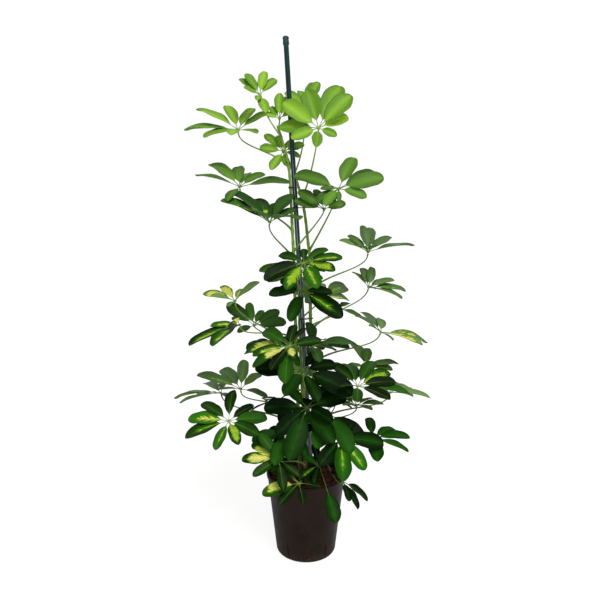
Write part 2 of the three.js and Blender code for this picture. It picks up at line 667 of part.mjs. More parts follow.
// The ring in the middle of a leaf: a flat polygon with one side for each leaflet
function hubCorners(row, height, taken) {
  const { low, normal, across } = faceAxes(row.face);
  const turns = [];
  const sides = [];
  taken.forEach(({ turn }, k) => {
    const next = taken[(k + 1) % taken.length].turn + (k + 1 === taken.length ? 360 : 0);
    const reach = Math.min((next - turn) / 2, HUB.widestSide / 2);
    const from = turns.length - 1;
    turns.push(turn + reach);
    if (next - turn > HUB.widestSide) {
      turns.push(next - reach);
    }
    sides.push({ from, to: from + 1 });
  });
  const points = turns.map((turn) => {
    const out = mix(low, Math.cos(turn * DEGREE), across, Math.sin(turn * DEGREE));
    return row.hub.clone().addScaledVector(out, HUB.radius).addScaledVector(normal, height);
  });
  return { points, turns, sides };
}

// One whole leaf: petiole, hub and leaflets in a single skin
function leafSolid(row, taken) {
  const skin = new Skin();
  const under = hubCorners(row, -HUB.halfHeight, taken);
  const over = hubCorners(row, HUB.halfHeight, taken);
  const petiole = petioleRings(row).map((ring) => skin.ring(ring));
  const bottom = skin.ring(under.points);
  const top = skin.ring(over.points);
  skin.close(petiole[0], false);
  for (let k = 0; k + 1 < petiole.length; k += 1) {
    skin.band(petiole[k], petiole[k + 1]);
  }
  // The petiole's corners lie at odd eighths of the whorl's turn, and its last one comes first
  const last = petiole[petiole.length - 1];
  const corners = [last[last.length - 1], ...last.slice(0, -1)];
  const turned = bottom.map((_, k) => k).sort((a, b) => wrap(under.turns[a]) - wrap(under.turns[b]));
  skin.zip(corners, [45, 135, 225, 315], turned.map((k) => bottom[k]),
    turned.map((k) => wrap(under.turns[k])));
  skin.close(top, true);
  const count = bottom.length;
  const used = new Set();
  taken.forEach((leaflet, k) => {
    const from = (under.sides[k].from + count) % count;
    const to = under.sides[k].to;
    used.add(from);
    const rings = leaflet.rings.map((ring) => skin.ring(ring));
    const start = [bottom[to], top[to], top[from], bottom[from]];
    skin.band(start, rings[0]);
    for (let i = 0; i + 1 < rings.length; i += 1) {
      skin.band(rings[i], rings[i + 1], true);
    }
  });
  for (let k = 0; k < count; k += 1) {
    const next = (k + 1) % count;
    if (!used.has(k)) {
      skin.triangles.push(bottom[k], bottom[next], top[next], bottom[k], top[next], top[k]);
    }
  }
  return toSolid(skin.geometry());
}

function wrap(turn) {
  return ((turn % 360) + 360) % 360;
}

function boxesMeet(a, b) {
  return [0, 1, 2].every((axis) => a.min[axis] < b.max[axis] && b.min[axis] < a.max[axis]);
}

function crosses(solid, others) {
  const box = solid.boundingBox();
  return others.some((other) => boxesMeet(box, other.box) && !solid.intersect(other.solid).isEmpty());
}

function boxed(solid) {
  return { solid, box: solid.boundingBox() };
}

function bends() {
  const list = [];
  for (const size of BEND_SIZES) {
    for (const lift of BEND_LIFTS) {
      for (const turn of BEND_TURNS) {
        list.push({ size, lift, turn });
      }
    }
  }
  return list;
}

// Each leaflet takes the first bend that keeps it clear of what stands there already, and
// of the other leaflets on its own hub. One that finds none is left off.
function growLeaves(standing) {
  const petioles = LEAVES.map((row) => boxed(loft(petioleRings(row))));
  const grown = [];
  LEAVES.forEach((row, index) => {
    const others = [...standing, ...grown, ...petioles];
    const own = [];
    const taken = [];
    row.leaflets.forEach((leaflet, place) => {
      const seed = index * SEEDS_A_LEAF + place;
      const from = (clearance, bend, stalkFrom) =>
        loft(bladeRings(row, seed, leaflet, bend, clearance, stalkFrom), true);
      const clear = bends().find((bend) =>
        !crosses(from(BEND_CLEARANCE, bend, HUB.radius + 1), others)
        && !crosses(from(BEND_CLEARANCE, bend, HUB.parting), own));
      if (clear) {
        own.push(boxed(from(0, clear, HUB.parting)));
        taken.push({ turn: leaflet[0], rings: bladeRings(row, seed, leaflet, clear, 0) });
      }
    });
    taken.sort((a, b) => a.turn - b.turn);
    const cut = leafSolid(row, taken).subtract(stemSolid(row.stem, GAP)).decompose();
    cut.sort((a, b) => b.volume() - a.volume());
    grown.push(boxed(cut[0]));
  });
  return grown.map(({ solid }) => solid);
}

// Assembly

const plant = new THREE.Group();

function add(name, solid, colour, roughness, metalness = 0) {
  const material = new THREE.MeshStandardMaterial({ color: colour, roughness, metalness });
  const mesh = new THREE.Mesh(toGeometry(solid), material);
  mesh.name = name;
  plant.add(mesh);
}

const stemNames = Object.keys(STEMS);
const stems = stemNames.map((name) => stemSolid(name, 0));
const stake = stakeSolid(0);
const cap = capSolid();
const ties = TIES.map(tieSolid);
const holes = wasm.Manifold.union([stakeSolid(GAP), ...stemNames.map((name) => stemSolid(name, GAP))]);
const pot = potSolid();
const clay = claySolid(holes);
const standing = [pot, clay, stake, cap, ...ties, ...stems];
const leaves = growLeaves(standing.map(boxed));

add("pot", pot, 0x2b2019, 0.45);
add("clay_pebbles", clay, 0x5a2418, 0.95);
add("stake", stake, 0x12333a, 0.35);
add("stake_cap", cap, 0x0f2c33, 0.4);
TIES.forEach((tie, index) => add(tie.name, ties[index], 0x14261c, 0.6));
stemNames.forEach((name, index) => add(`stem_${name}`, stems[index], 0x5d7a2c, 0.7));
LEAVES.forEach((row, index) => {
  const number = String(index + 1).padStart(2, "0");
  add(`leaf_${number}`, leaves[index], LOOKS[row.look].colour, 0.4);
});

export default plant;
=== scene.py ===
"""Potted umbrella plant: the looks of the plant, its pot and its stake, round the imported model.

The script runs in Blender 4.5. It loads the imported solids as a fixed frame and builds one
piece over each of them: 46 whorled leaves with stalks, veins and yellow markings, four stems,
a coated stake with its cap, three ties, a slotted pot and its filling of clay pebbles.
Lengths in the tables are millimetres, +Z is up and the front is -Y. Blender gets metres.
"""

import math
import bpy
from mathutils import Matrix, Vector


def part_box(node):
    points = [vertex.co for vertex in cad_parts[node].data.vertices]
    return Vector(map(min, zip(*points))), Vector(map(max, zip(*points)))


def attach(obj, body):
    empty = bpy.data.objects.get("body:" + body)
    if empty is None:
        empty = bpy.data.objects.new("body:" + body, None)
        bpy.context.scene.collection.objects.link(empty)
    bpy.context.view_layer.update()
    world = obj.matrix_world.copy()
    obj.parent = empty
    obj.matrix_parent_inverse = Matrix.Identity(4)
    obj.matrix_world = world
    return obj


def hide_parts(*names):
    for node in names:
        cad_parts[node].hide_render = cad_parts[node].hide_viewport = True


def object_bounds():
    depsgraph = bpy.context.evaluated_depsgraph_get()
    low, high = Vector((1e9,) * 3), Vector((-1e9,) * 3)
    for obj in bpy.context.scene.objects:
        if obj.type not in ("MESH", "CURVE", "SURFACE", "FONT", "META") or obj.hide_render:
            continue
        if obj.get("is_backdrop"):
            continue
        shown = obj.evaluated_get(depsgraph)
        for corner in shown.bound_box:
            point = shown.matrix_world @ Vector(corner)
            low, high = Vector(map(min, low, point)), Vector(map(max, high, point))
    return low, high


bl_info = {
    "name": "Potted umbrella plant",
    "version": (1, 0, 0),
    "blender": (4, 5, 0),
    "location": "3D View > Sidebar > Plant",
    "description": "Builds a potted variegated umbrella plant over its packed solids",
    "category": "Add Mesh",
}

from collections import namedtuple

import bmesh
import bpy
import numpy as np
from bpy.props import FloatProperty, FloatVectorProperty, IntProperty, PointerProperty
from mathutils import Vector

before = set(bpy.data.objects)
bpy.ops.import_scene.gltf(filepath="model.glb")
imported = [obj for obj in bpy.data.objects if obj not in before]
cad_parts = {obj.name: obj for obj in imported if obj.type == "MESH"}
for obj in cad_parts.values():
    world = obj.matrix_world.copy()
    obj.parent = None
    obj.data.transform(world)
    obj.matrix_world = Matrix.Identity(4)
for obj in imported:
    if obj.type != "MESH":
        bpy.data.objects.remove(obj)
CAD_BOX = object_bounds()
MM = 0.001
RIGHT = np.array([1.0, 0, 0])
UP = np.array([0, 0, 1.0])

# Sizes of the solids that the pieces stand for

POT = {"height": 190, "rim_radius": 90, "base_radius": 68, "wall": 2.4, "floor": 4,
       "edge_round": 10, "inner_round": 6, "lip_height": 9, "middle": 20,
       "outer_rows": (75, 110, 145, 172), "inner_rows": (172, 110), "inner_corner": (1.6, 3)}
# The rim lip's outline: steps out and up from its underside, then from the rim's top edge
LIP_UNDER = [(0, 0), (0.9, 0.3), (1.7, 0.9), (2, 1.8)]
LIP_TOP = [(1.6, -2.6), (1.3, -1.1), (0.6, -0.3), (-0.4, 0), (-1.4, -0.1), (-2.4, -1)]
SLOT = {"count": 10, "width": 3.4, "bottom": 13, "top": 40, "first_turn": -89}
CLAY = {"level": 176, "bed_level": 167, "bed_floor": 4.3, "bed_corner": 11, "ease": 0.6}
# Ranges and steps that the pebbles' places, sizes and dents are drawn from
PEBBLE = {"layers": (8, 1), "size": (0.72, 1.12), "shift": (-0.2, 0.2), "height": (-2.5, 2),
          "row_step": 0.87, "layer_shift": (0.5, 0.4), "wall_ease": 0.8, "post_ease": 0.6,
          "squash": ((0.88, 1.12), (0.88, 1.12), (0.78, 0.98)), "dent": (-0.12, 0.1), "dents": 4}
# The stake narrows by end_step at each end, and its rows of faces start a margin from the ends
STAKE = {"radius": 5.5, "bottom": (22, 0, 24), "top": (-44, 0, 1146), "end_step": 0.8,
         "end_length": 1.2, "margin": 20, "rows": 24}
CAP = {"radius": 6.8, "bore": 5.8, "depth": 12, "ceiling": 0.3, "shoulder": 1.4, "height": 6}
# The cap's skirt from its mouth up: steps in from the full radius, heights over the stake's top
CAP_SKIRT = [(0.5, -12), (0.1, -11.5), (0, -10.8), (0.5, -4), (0.6, -1.5), (0.1, 0), (0, 1.4)]
# Each tie's height and the stem that it holds, and then what the ties share
TIES = {"tie_top": (838, "left"), "tie_middle": (795, "right"), "tie_low": (548, "right")}
TIE = {"clearance": 1.6, "half_steps": 16, "sides": 8, "tail_steps": 30, "tail_sides": 6,
       "tail_share": 0.75, "half_twists": 5.5, "tail_spread": 0.8}

# Each stem: radius at the foot and at the tip, then places as height, x, y from the foot up
STEMS = {
    "left": ((5, 2.6), [
        (60, -12, -8), (180, -14, -10), (400, -20, -10), (540, -24, -9), (667, -27, -13),
        (777, -32, -13), (860, -36, -10), (902, -42, -8), (968, -62, -4)]),
    "right": ((5.5, 2.6), [
        (60, 30, 10), (180, 30, 10), (400, 18, 12), (540, 10, 12), (667, 9, 12),
        (718, 4, 12), (790, -5, 15), (853, -21, 17), (905, -43, 16)]),
    "centre": ((4.6, 3), [
        (60, 6, 26), (180, 2, 24), (400, -10, 18), (540, -15, 15), (650, -13, 15)]),
    "front": ((5, 3), [(60, 4, -28), (180, 0, -36), (330, -6, -42), (440, -4, -38)]),
}
# Leaf scars: where the first old one stands over the foot, how far apart they are, the length
# that has none, and how far and how much each swells the stem
SCAR = {"first": 130, "pitch": 23, "bare": 180, "shift": (-5, 5), "reach": 3.2, "swell": 0.55}
# A stem's row of faces, its narrowed tip, and how much its thickness varies
STEM = {"row": 4, "tip": 0.8, "tip_share": 0.55, "uneven": 0.035}

# The petiole's and the whorl's proportions, as the solids have them
PETIOLE = {"root_radius": 2.6, "tip_radius": 1.4, "stem_share": 0.7, "outward": 0.22,
           "upward": 0.28, "arrival": 0.25, "taper": 1.6, "under_hub": 5}
SOLID_STALK_SHARE = 0.24
WIDTH_SHARE = 0.165
ROLL_RANGE = 30
DROOP_SHARES = (0.8, 1.2)
WIDTH_SHARES = (0.92, 1.08)
SEEDS_A_LEAF = 16
# What the pieces have of their own: blades that start a little nearer to the hub, the hub's
# knuckle, and a blade's fold in degrees, its number of waves, the dip of its tip, and its
# midrib's groove above and ridge below
STALK_SHARE = 0.17
HUB = {"half_height": 2.2, "radius": 3.6, "steps": 8, "sides": 12}
BLADE = {"fold": 14, "edge_waves": 1.3, "outline_waves": 2.3, "tip_dip": 0.22, "groove": 0.12,
         "ridge": 0.5, "ridge_width": 1.1}
# Leaves whose leaflets have whitish stalks
PALE_STALKED = (28, 36, 38, 41, 42)

# Looks of a leaf: which leaves have it, its finish slot, how far its leaflets droop in degrees
# and how broad they are, how clear its ribs are, how much lighter its middle is, its gloss,
# and the colours: darker green, lighter green, and the green of ribs and stalks
Look = namedtuple("Look", "leaves slot droop broad ribs heart gloss deep fresh vein")
LOOKS = {
    "young": Look("young", "leaf_young", 16, 1.25, 0.42, 0.7, 0.1,
                  (0.115, 0.265, 0.020), (0.26, 0.48, 0.035), (0.30, 0.48, 0.05)),
    "green": Look("grown", "leaf_green", 24, 1.18, 0.35, 0.55, 0.1,
                  (0.045, 0.115, 0.014), (0.11, 0.25, 0.025), (0.12, 0.24, 0.025)),
    # The light look's lighter, greyer greens are a painted sheen: they stand in for the bright
    # backdrop's reflection on leaves seen edge-on.
    "light": Look("duller", "leaf_green", 24, 1.18, 0.3, 0.35, 0.2,
                  (0.070, 0.145, 0.035), (0.15, 0.28, 0.06), (0.13, 0.24, 0.04)),
    "low": Look("lowest", "leaf_green", 24, 1.18, 0.28, 0.3, 0.04,
                (0.0016, 0.0105, 0.0010), (0.014, 0.095, 0.003), (0.05, 0.15, 0.012)),
    "dark": Look("old", "leaf_dark", 28, 1.2, 0.25, 0.25, 0.04,
                 (0.0016, 0.0095, 0.0010), (0.014, 0.075, 0.004), (0.03, 0.10, 0.01)),
    "middle": Look("less old", "leaf_dark", 28, 1.2, 0.3, 0.3, 0.1,
                   (0.018, 0.06, 0.009), (0.05, 0.15, 0.016), (0.10, 0.22, 0.03)),
    "splashed": Look("marked", "leaf_splashed", 24, 1.1, 0.28, 0.2, 0.06,
                     (0.0016, 0.0095, 0.0010), (0.018, 0.10, 0.004), (0.22, 0.34, 0.06)),
}
# Each solid's leaflet took the first of these that kept it clear: size, lift and turn
BENDS = [(size, lift, turn)
         for size in (1, 0.85, 0.7)
         for lift in (0, 12, -12, 24, -24, 38, -38)
         for turn in (0, 8, -8)]
TIP_MATCH = 0.05

# Markings of a leaflet. Reach is the yellow's half width as a share of the blade's, start and
# end are where it runs along the blade, pale turns it to cream, or to lime if it is under 0,
# one_side makes it lopsided and fresh makes the green brighter. The marks that only change
# fresh, other than bright, paint light and shade: they make a leaflet's green lighter where it
# should look lit and darker where it should look shaded.
Mark = namedtuple("Mark", "reach start end pale one_side fresh")
MARKS = {
    "none": Mark(-0.6, 0, 1, 0.3, 0, 0),
    "bright": Mark(-0.6, 0, 1, 0.3, 0, 0.8),
    # Painted light and painted shade: these two marks make a leaflet's green lighter or darker in
    # place of how light falls on it.
    "lit": Mark(-0.6, 0, 1, 0.3, 0, 0.35),
    "dull": Mark(-0.6, 0, 1, 0.3, 0, -0.35),
    "thread": Mark(0.11, 0, 0.8, 0.1, 0, 0.1),
    "streak": Mark(0.19, 0, 0.95, 0.15, 0.03, 0.3),
    "lime": Mark(0.55, 0, 0.9, -0.7, 0.25, 0.3),
    "flame": Mark(0.36, 0, 0.8, 0.45, 0.12, 0.5),
    "cream": Mark(0.68, 0, 0.85, 0.85, 0.05, 0.2),
    "foot": Mark(1, 0, 0.6, 0.8, 0, 0.4),
    "spot": Mark(0.5, 0.1, 0.4, 0.4, 0, 0.2),
    "half": Mark(0.42, 0, 0.88, 0.35, 0.75, 0.1),
    "pale": Mark(0.95, 0.05, 0.92, 0.3, 0.2, 0.2),
}

# The leaves, from the top of the plant down. Each has its stem and the height of its root
# there, the place of its hub, the compass turn and tilt of its face, the look, the lift of the
# whorl, and then its leaflets. A leaflet has its turn round the hub and its length, and where
# they aren't the usual ones also its lift, its marking and its stalk's share of the length.
Leaf = namedtuple("Leaf", "stem root hub face look lift leaflets")
Leaflet = namedtuple("Leaflet", "turn length lift mark stalk", defaults=(0, "none", None))
# Some leaflets carry marks that paint light and shade: lit makes a leaflet lighter, and its opposite
# mark makes one darker.
LEAVES = [
    Leaf("left", 945, (-99, -10, 1030), (-90, 48), "young", 10, [
        (233, 58, 5), (217, 56, 2), (168, 55, 15), (140, 54), (14, 60, -10), (262, 37, 15),
        (355, 36, 9)]),
    Leaf("left", 962, (-58, 0, 984), (-90, 60), "young", 5, [
        (180, 55, 15), (160, 58), (212, 39, -10, "dull"), (260, 30, 5, "dull"), (100, 38)]),
    Leaf("right", 868, (0, 50, 1018), (-90, 40), "young", 15, [
        (194, 59, -9), (165, 74), (150, 64, 15), (235, 60), (95, 50)]),
    Leaf("left", 880, (-149, 20, 963), (-90, 15), "young", 23, [
        (272, 118, -23), (304, 84, -30), (255, 105), (211, 74, 16), (150, 74, 10), (110, 85),
        (47, 62, -25), (353, 69, -25)]),
    Leaf("right", 815, (25, -30, 959), (-90, 70), "young", 0, [
        (156, 115, -5, "lit"), (136, 100, 5, "lit"), (118, 73, -10, "lit"), (62, 43, 5), (194, 96, -4),
        (234, 92, -5, "dull"), (264, 84, -8, "dull"), (297, 66, 10, "dull"), (353, 57, 20, "dull")]),
    Leaf("right", 900, (-50, 8, 916), (-90, 60), "young", 0, [
        (223, 61, 0, "lit"), (252, 53, 0, "lit"), (325, 57, 3), (11, 35, 14), (203, 39), (149, 34),
        (112, 49), (75, 39, 18)]),
    Leaf("left", 745, (-144, -10, 839), (-90, 20), "green", 18, [
        (263, 100, -5, "bright"), (226, 104, 0, "bright"), (187, 84, -2, "bright"), (169, 71, -9),
        (133, 73, -6), (94, 110, -12), (341, 66, -29)]),
    Leaf("right", 700, (67, -50, 833), (-90, 60), "green", 0, [
        (156, 86, 0, "bright"), (117, 88), (103, 98, 5, "dull"), (70, 62), (247, 102, -5),
        (277, 40, 10), (303, 59, -4), (325, 58, 10), (359, 31)]),
    Leaf("left", 700, (37, -38, 791), (-90, 60), "green", 0, [
        (202, 52, 2), (228, 68, 10), (254, 66, 4), (136, 45, -5), (104, 48, 5)]),
    Leaf("left", 685, (-78, -50, 763), (-60, 18), "middle", 20, [
        (241, 112, -4, "thread"), (215, 110, 2), (266, 80, 5, "thread"), (304, 86, 8, "bright"),
        (178, 88, -2, "spot"), (140, 66, 4), (110, 84, -2), (2, 120, 1, "lit"), (84, 67, 7)]),
    Leaf("right", 610, (136, 0, 698), (-90, 15), "light", 25, [
        (263, 69, -4), (238, 60, 5), (195, 65, 25), (170, 70, 10), (127, 73, -7), (92, 104, -17),
        (20, 50, 10), (325, 50, 5)]),
    Leaf("right", 610, (-6, -80, 680), (-100, 35), "splashed", 0, [
        (137, 66), (109, 81, 0, "streak"), (88, 84, 0, "streak"), (65, 77, 5, "lime"),
        (26, 90, 1, "streak"), (344, 88, 0, "lime"), (311, 96, 3), (293, 71), (242, 67, -4, "lit"),
        (188, 48, 0, "lit")]),
    Leaf("right", 520, (141, 20, 617), (-60, 20), "light", 5, [
        (196, 58, 11), (168, 61, 18), (144, 56, 20), (102, 50, 4), (86, 68, 10),
        (71, 87, -2, "thread"), (28, 84, -1, "streak"), (343, 42, 16)]),
    Leaf("left", 560, (-10, -60, 619), (-90, 45), "dark", 0, [
        (270, 56), (292, 77, 4), (344, 84), (50, 109, 0, "thread"), (85, 65), (238, 55)]),
    Leaf("centre", 540, (37, 34, 595), (-60, 30), "light", 0, [
        (112, 97, -3, "thread"), (92, 86, -14), (65, 60, 5, "half"), (155, 49, 5), (214, 63, -4),
        (286, 69, -5)]),
    Leaf("left", 478, (-159, 0, 589), (-90, 20), "light", 15, [
        (259, 76, -7, "pale"), (283, 57, 4, "lit"), (217, 60, -1, "pale"), (164, 46, -4, "flame"),
        (115, 70, 15), (345, 42, -5, "thread")]),
    Leaf("centre", 600, (-10, 115, 643), (90, 25), "green", 0, [
        (0, 120, -15), (50, 112), (95, 104), (150, 60), (196, 67, 14), (266, 57), (306, 65, -4)]),
    Leaf("centre", 510, (74, 40, 566), (-60, 30), "green", 0, [
        (116, 50, -5), (45, 60), (195, 44), (270, 42), (334, 38, 9)]),
    Leaf("left", 500, (-145, -40, 542), (-120, 20), "splashed", 0, [
        (305, 64, 10, "flame"), (328, 120, 0, "streak"), (4, 110, 6, "streak"), (21, 64, 9),
        (254, 54, -18, "foot"), (230, 50, 0, "foot")]),
    Leaf("left", 460, (-120, 36, 527), (-90, 60), "middle", 0, [
        (232, 82, 5), (195, 62, -5), (155, 46, -10), (122, 69), (94, 76, 5), (296, 43, 9)]),
    Leaf("right", 440, (165, -20, 522), (-30, 20), "light", 0, [
        (45, 120, -1, "cream"), (152, 84, 7, "dull"), (184, 69, 11), (238, 41, 18),
        (340, 39, 0, "dull"), (28, 96, 3, "cream"), (120, 58, 13)]),
    Leaf("left", 400, (-36, -100, 508), (-110, 35), "splashed", 0, [
        (268, 120, -18, "half"), (296, 80, 0, "flame"), (323, 92, 5, "foot"), (340, 76, 5),
        (5, 102, 0, "lit"), (238, 92, -6), (187, 63), (168, 58), (32, 59, 5, "cream"), (109, 68)]),
    Leaf("right", 430, (14, -46, 497), (-60, 8), "middle", 0, [
        (83, 112, -3, "lit"), (102, 78, -18), (126, 68, -4), (169, 68, 20), (342, 67, -11),
        (52, 52, -6)]),
    Leaf("centre", 440, (-6, 140, 450), (85, 25), "dark", 0, [
        (0, 92), (44, 92), (104, 70), (153, 60), (208, 60), (282, 120, 4), (329, 92, 9)]),
    Leaf("centre", 400, (-78, 120, 467), (115, 25), "dark", 0, [
        (17, 111, 4), (61, 66, 10), (108, 72), (160, 58, -5), (212, 60), (262, 74, -5),
        (311, 103, -13)]),
    Leaf("front", 400, (-8, -64, 446), (-80, 40), "dark", 0, [
        (13, 90, 5), (56, 120), (102, 80, -5), (144, 68, 9), (268, 105, 5), (325, 86, 8), (218, 66)]),
    Leaf("right", 370, (138, 20, 432), (-60, 12), "green", 0, [
        (164, 97, 10, "lit"), (145, 63, 23), (86, 91), (77, 70, -6), (238, 42, 1), (320, 42)]),
    Leaf("right", 330, (109, -80, 416), (-90, 20), "splashed", 0, [
        (190, 97, -4), (153, 95, 5), (124, 92, 0, "lime"), (100, 86), (82, 112, -5, "lit"),
        (48, 84, 5), (354, 65, 6), (216, 85, 6), (253, 84, -5), (306, 63, 2)]),
    Leaf("centre", 330, (10, 150, 400), (90, 20), "middle", 0, [
        (356, 105, -9), (27, 110, -9), (104, 74, 5), (156, 60), (208, 60), (268, 94), (292, 103)]),
    Leaf("left", 330, (-150, 10, 383), (-90, 10), "light", 15, [
        (257, 110, -2, "thread"), (215, 92, -4), (176, 78, 22), (138, 68, -2), (69, 68, -23),
        (285, 56, -10)]),
    Leaf("right", 300, (195, 20, 372), (-30, 15), "light", 0, [
        (43, 104), (78, 86, -1), (102, 66, 5), (185, 46), (270, 42), (1, 56, 14)]),
    Leaf("front", 340, (1, -78, 369), (-90, 50), "dark", 0, [
        (32, 107, 14), (49, 79, 15), (106, 91, -4), (132, 68), (223, 68, -5), (269, 95, -5), (313, 90),
        (333, 120, -5)]),
    Leaf("left", 290, (-203, 60, 359), (180, 10), "light", 0, [
        (350, 120), (15, 100), (303, 88, 8), (43, 67, 14), (115, 52), (261, 68, 13)]),
    Leaf("right", 290, (114, -20, 355), (-90, 5), "green", 0, [
        (227, 56, 5), (294, 37, 9), (128, 50, 5), (95, 62), (50, 42), (206, 54, 20)]),
    Leaf("right", 285, (45, -58, 350), (-60, 40), "dark", 0, [
        (359, 112, -5), (29, 104, 2), (120, 66, 15), (137, 67, 5), (222, 69, -5), (249, 84),
        (320, 100)]),
    Leaf("front", 250, (-170, -60, 332), (-100, 35), "splashed", 0, [
        (187, 86, 0, "dull"), (239, 86), (271, 94, 0, "flame"), (297, 101, -4, "thread"),
        (349, 73, -5, "thread"), (31, 74, 5, "lime"), (65, 86, 5), (98, 86, 0, "lit"), (135, 66)]),
    Leaf("left", 255, (-67, 105, 327), (125, 22), "low", 0, [
        (355, 72, 5), (48, 78, -9), (109, 58, 10), (156, 56), (208, 52, 10), (264, 76, 9), (330, 90)]),
    Leaf("front", 300, (72, -112, 313), (-80, 45), "low", 0, [
        (249, 68), (316, 82, 4), (352, 97, 5, "thread"), (30, 82, -4, "streak"), (179, 46),
        (135, 48, 5), (84, 100)]),
    Leaf("left", 270, (-43, -76, 312), (-110, 35), "dark", 0, [
        (0, 84), (50, 82), (105, 76), (154, 68, 4), (210, 60), (265, 45, -5), (300, 78, 5)]),
    Leaf("centre", 250, (74, 105, 320), (55, 22), "dark", 0, [
        (0, 64, 5), (52, 80), (104, 70), (156, 56), (208, 58), (260, 52, -5), (312, 60)]),
    Leaf("right", 240, (149, -40, 285), (-60, 15), "low", 0, [
        (155, 67, 10), (103, 74), (75, 91), (34, 84), (331, 86), (235, 76, 5)]),
    Leaf("front", 220, (-59, -112, 266), (-90, 45), "splashed", 0, [
        (237, 71, -5, "half"), (268, 80, -5, "cream"), (308, 68, 10), (212, 69, 5, "dull"),
        (180, 70, 0, "dull"), (10, 68, 0, "dull"), (50, 58, 0, "dull"), (140, 58, 0, "dull")]),
    Leaf("front", 230, (27, -92, 246), (-90, 45), "low", 0, [
        (241, 42), (308, 56, 0, "thread"), (345, 44), (15, 128, 0, "none", 0.52), (105, 40),
        (193, 50)]),
    Leaf("centre", 208, (4, 118, 252), (90, 30), "low", 0, [
        (0, 84), (52, 78), (104, 66), (156, 54), (208, 54), (260, 68), (312, 80)]),
    Leaf("front", 200, (-16, -112, 213), (-90, 30), "splashed", 0, [
        (293, 84, 4, "half"), (322, 66, 0, "dull"), (10, 52, 0, "dull"), (77, 48, 0, "dull"),
        (247, 80, 14), (224, 120, 8), (132, 64)]),
    Leaf("right", 222, (80, -66, 196), (-30, 35), "low", -10, [
        (27, 76), (345, 68), (93, 32, -15), (318, 55, 10), (180, 34)]),
]


# Steady chance, curves and axes

def chance(a, b):
    """A steady pseudo-random number from 0 to 1, where a is the thing's and b the draw's."""
    wave = math.sin(a * 12.9898 + b * 78.233) * 43758.5453
    return wave - math.floor(wave)


def between(ends, a, b):
    return ends[0] + (ends[1] - ends[0]) * chance(a, b)


def smooth(x, low, high):
    t = np.clip((np.asarray(x, float) - low) / (high - low), 0, 1)
    return t * t * (3 - 2 * t)


def unit(v):
    return v / np.linalg.norm(v)


def round_turns(sides):
    return np.linspace(0, 2 * math.pi, sides, endpoint=False)


def whorl_axes(face):
    """Out to the whorl's low side, square to its face, and across."""
    turn, tilt = (math.radians(angle) for angle in face)
    level = np.array([math.cos(turn), math.sin(turn), 0])
    low = level * math.cos(tilt) - UP * math.sin(tilt)
    normal = level * math.sin(tilt) + UP * math.cos(tilt)
    return low, normal, np.cross(normal, low)


def stem_ends(name):
    """Heights of a stem's foot and tip."""
    places = STEMS[name][1]
    return places[0][0], places[-1][0]


def stem_place(name, height):
    """Place on a stem's axis at a height: a smooth curve through the stem's places."""
    places = np.array(STEMS[name][1], float)
    last = len(places) - 1
    i = int(np.clip(np.searchsorted(places[:, 0], height) - 1, 0, last - 1))

    def slope(k):
        before, after = places[max(k - 1, 0)], places[min(k + 1, last)]
        return (after - before) / (after[0] - before[0])

    reach = places[i + 1][0] - places[i][0]
    t = (height - places[i][0]) / reach
    _, x, y = ((2 * t**3 - 3 * t**2 + 1) * places[i] + (t**3 - 2 * t**2 + t) * reach * slope(i)
               + (3 * t**2 - 2 * t**3) * places[i + 1] + (t**3 - t**2) * reach * slope(i + 1))
    return np.array([x, y, height])


def stem_radius(name, height):
    return np.interp(height, stem_ends(name), STEMS[name][0])


def stake_place(height):
    foot, top = np.array(STAKE["bottom"], float), np.array(STAKE["top"], float)
    return foot + (top - foot) * (height - foot[2]) / (top[2] - foot[2])


def pot_radius(height):
    """Outside radius of the pot's tapered wall."""
    slope = (POT["rim_radius"] - POT["base_radius"]) / POT["height"]
    return POT["base_radius"] + slope * height


# Meshes

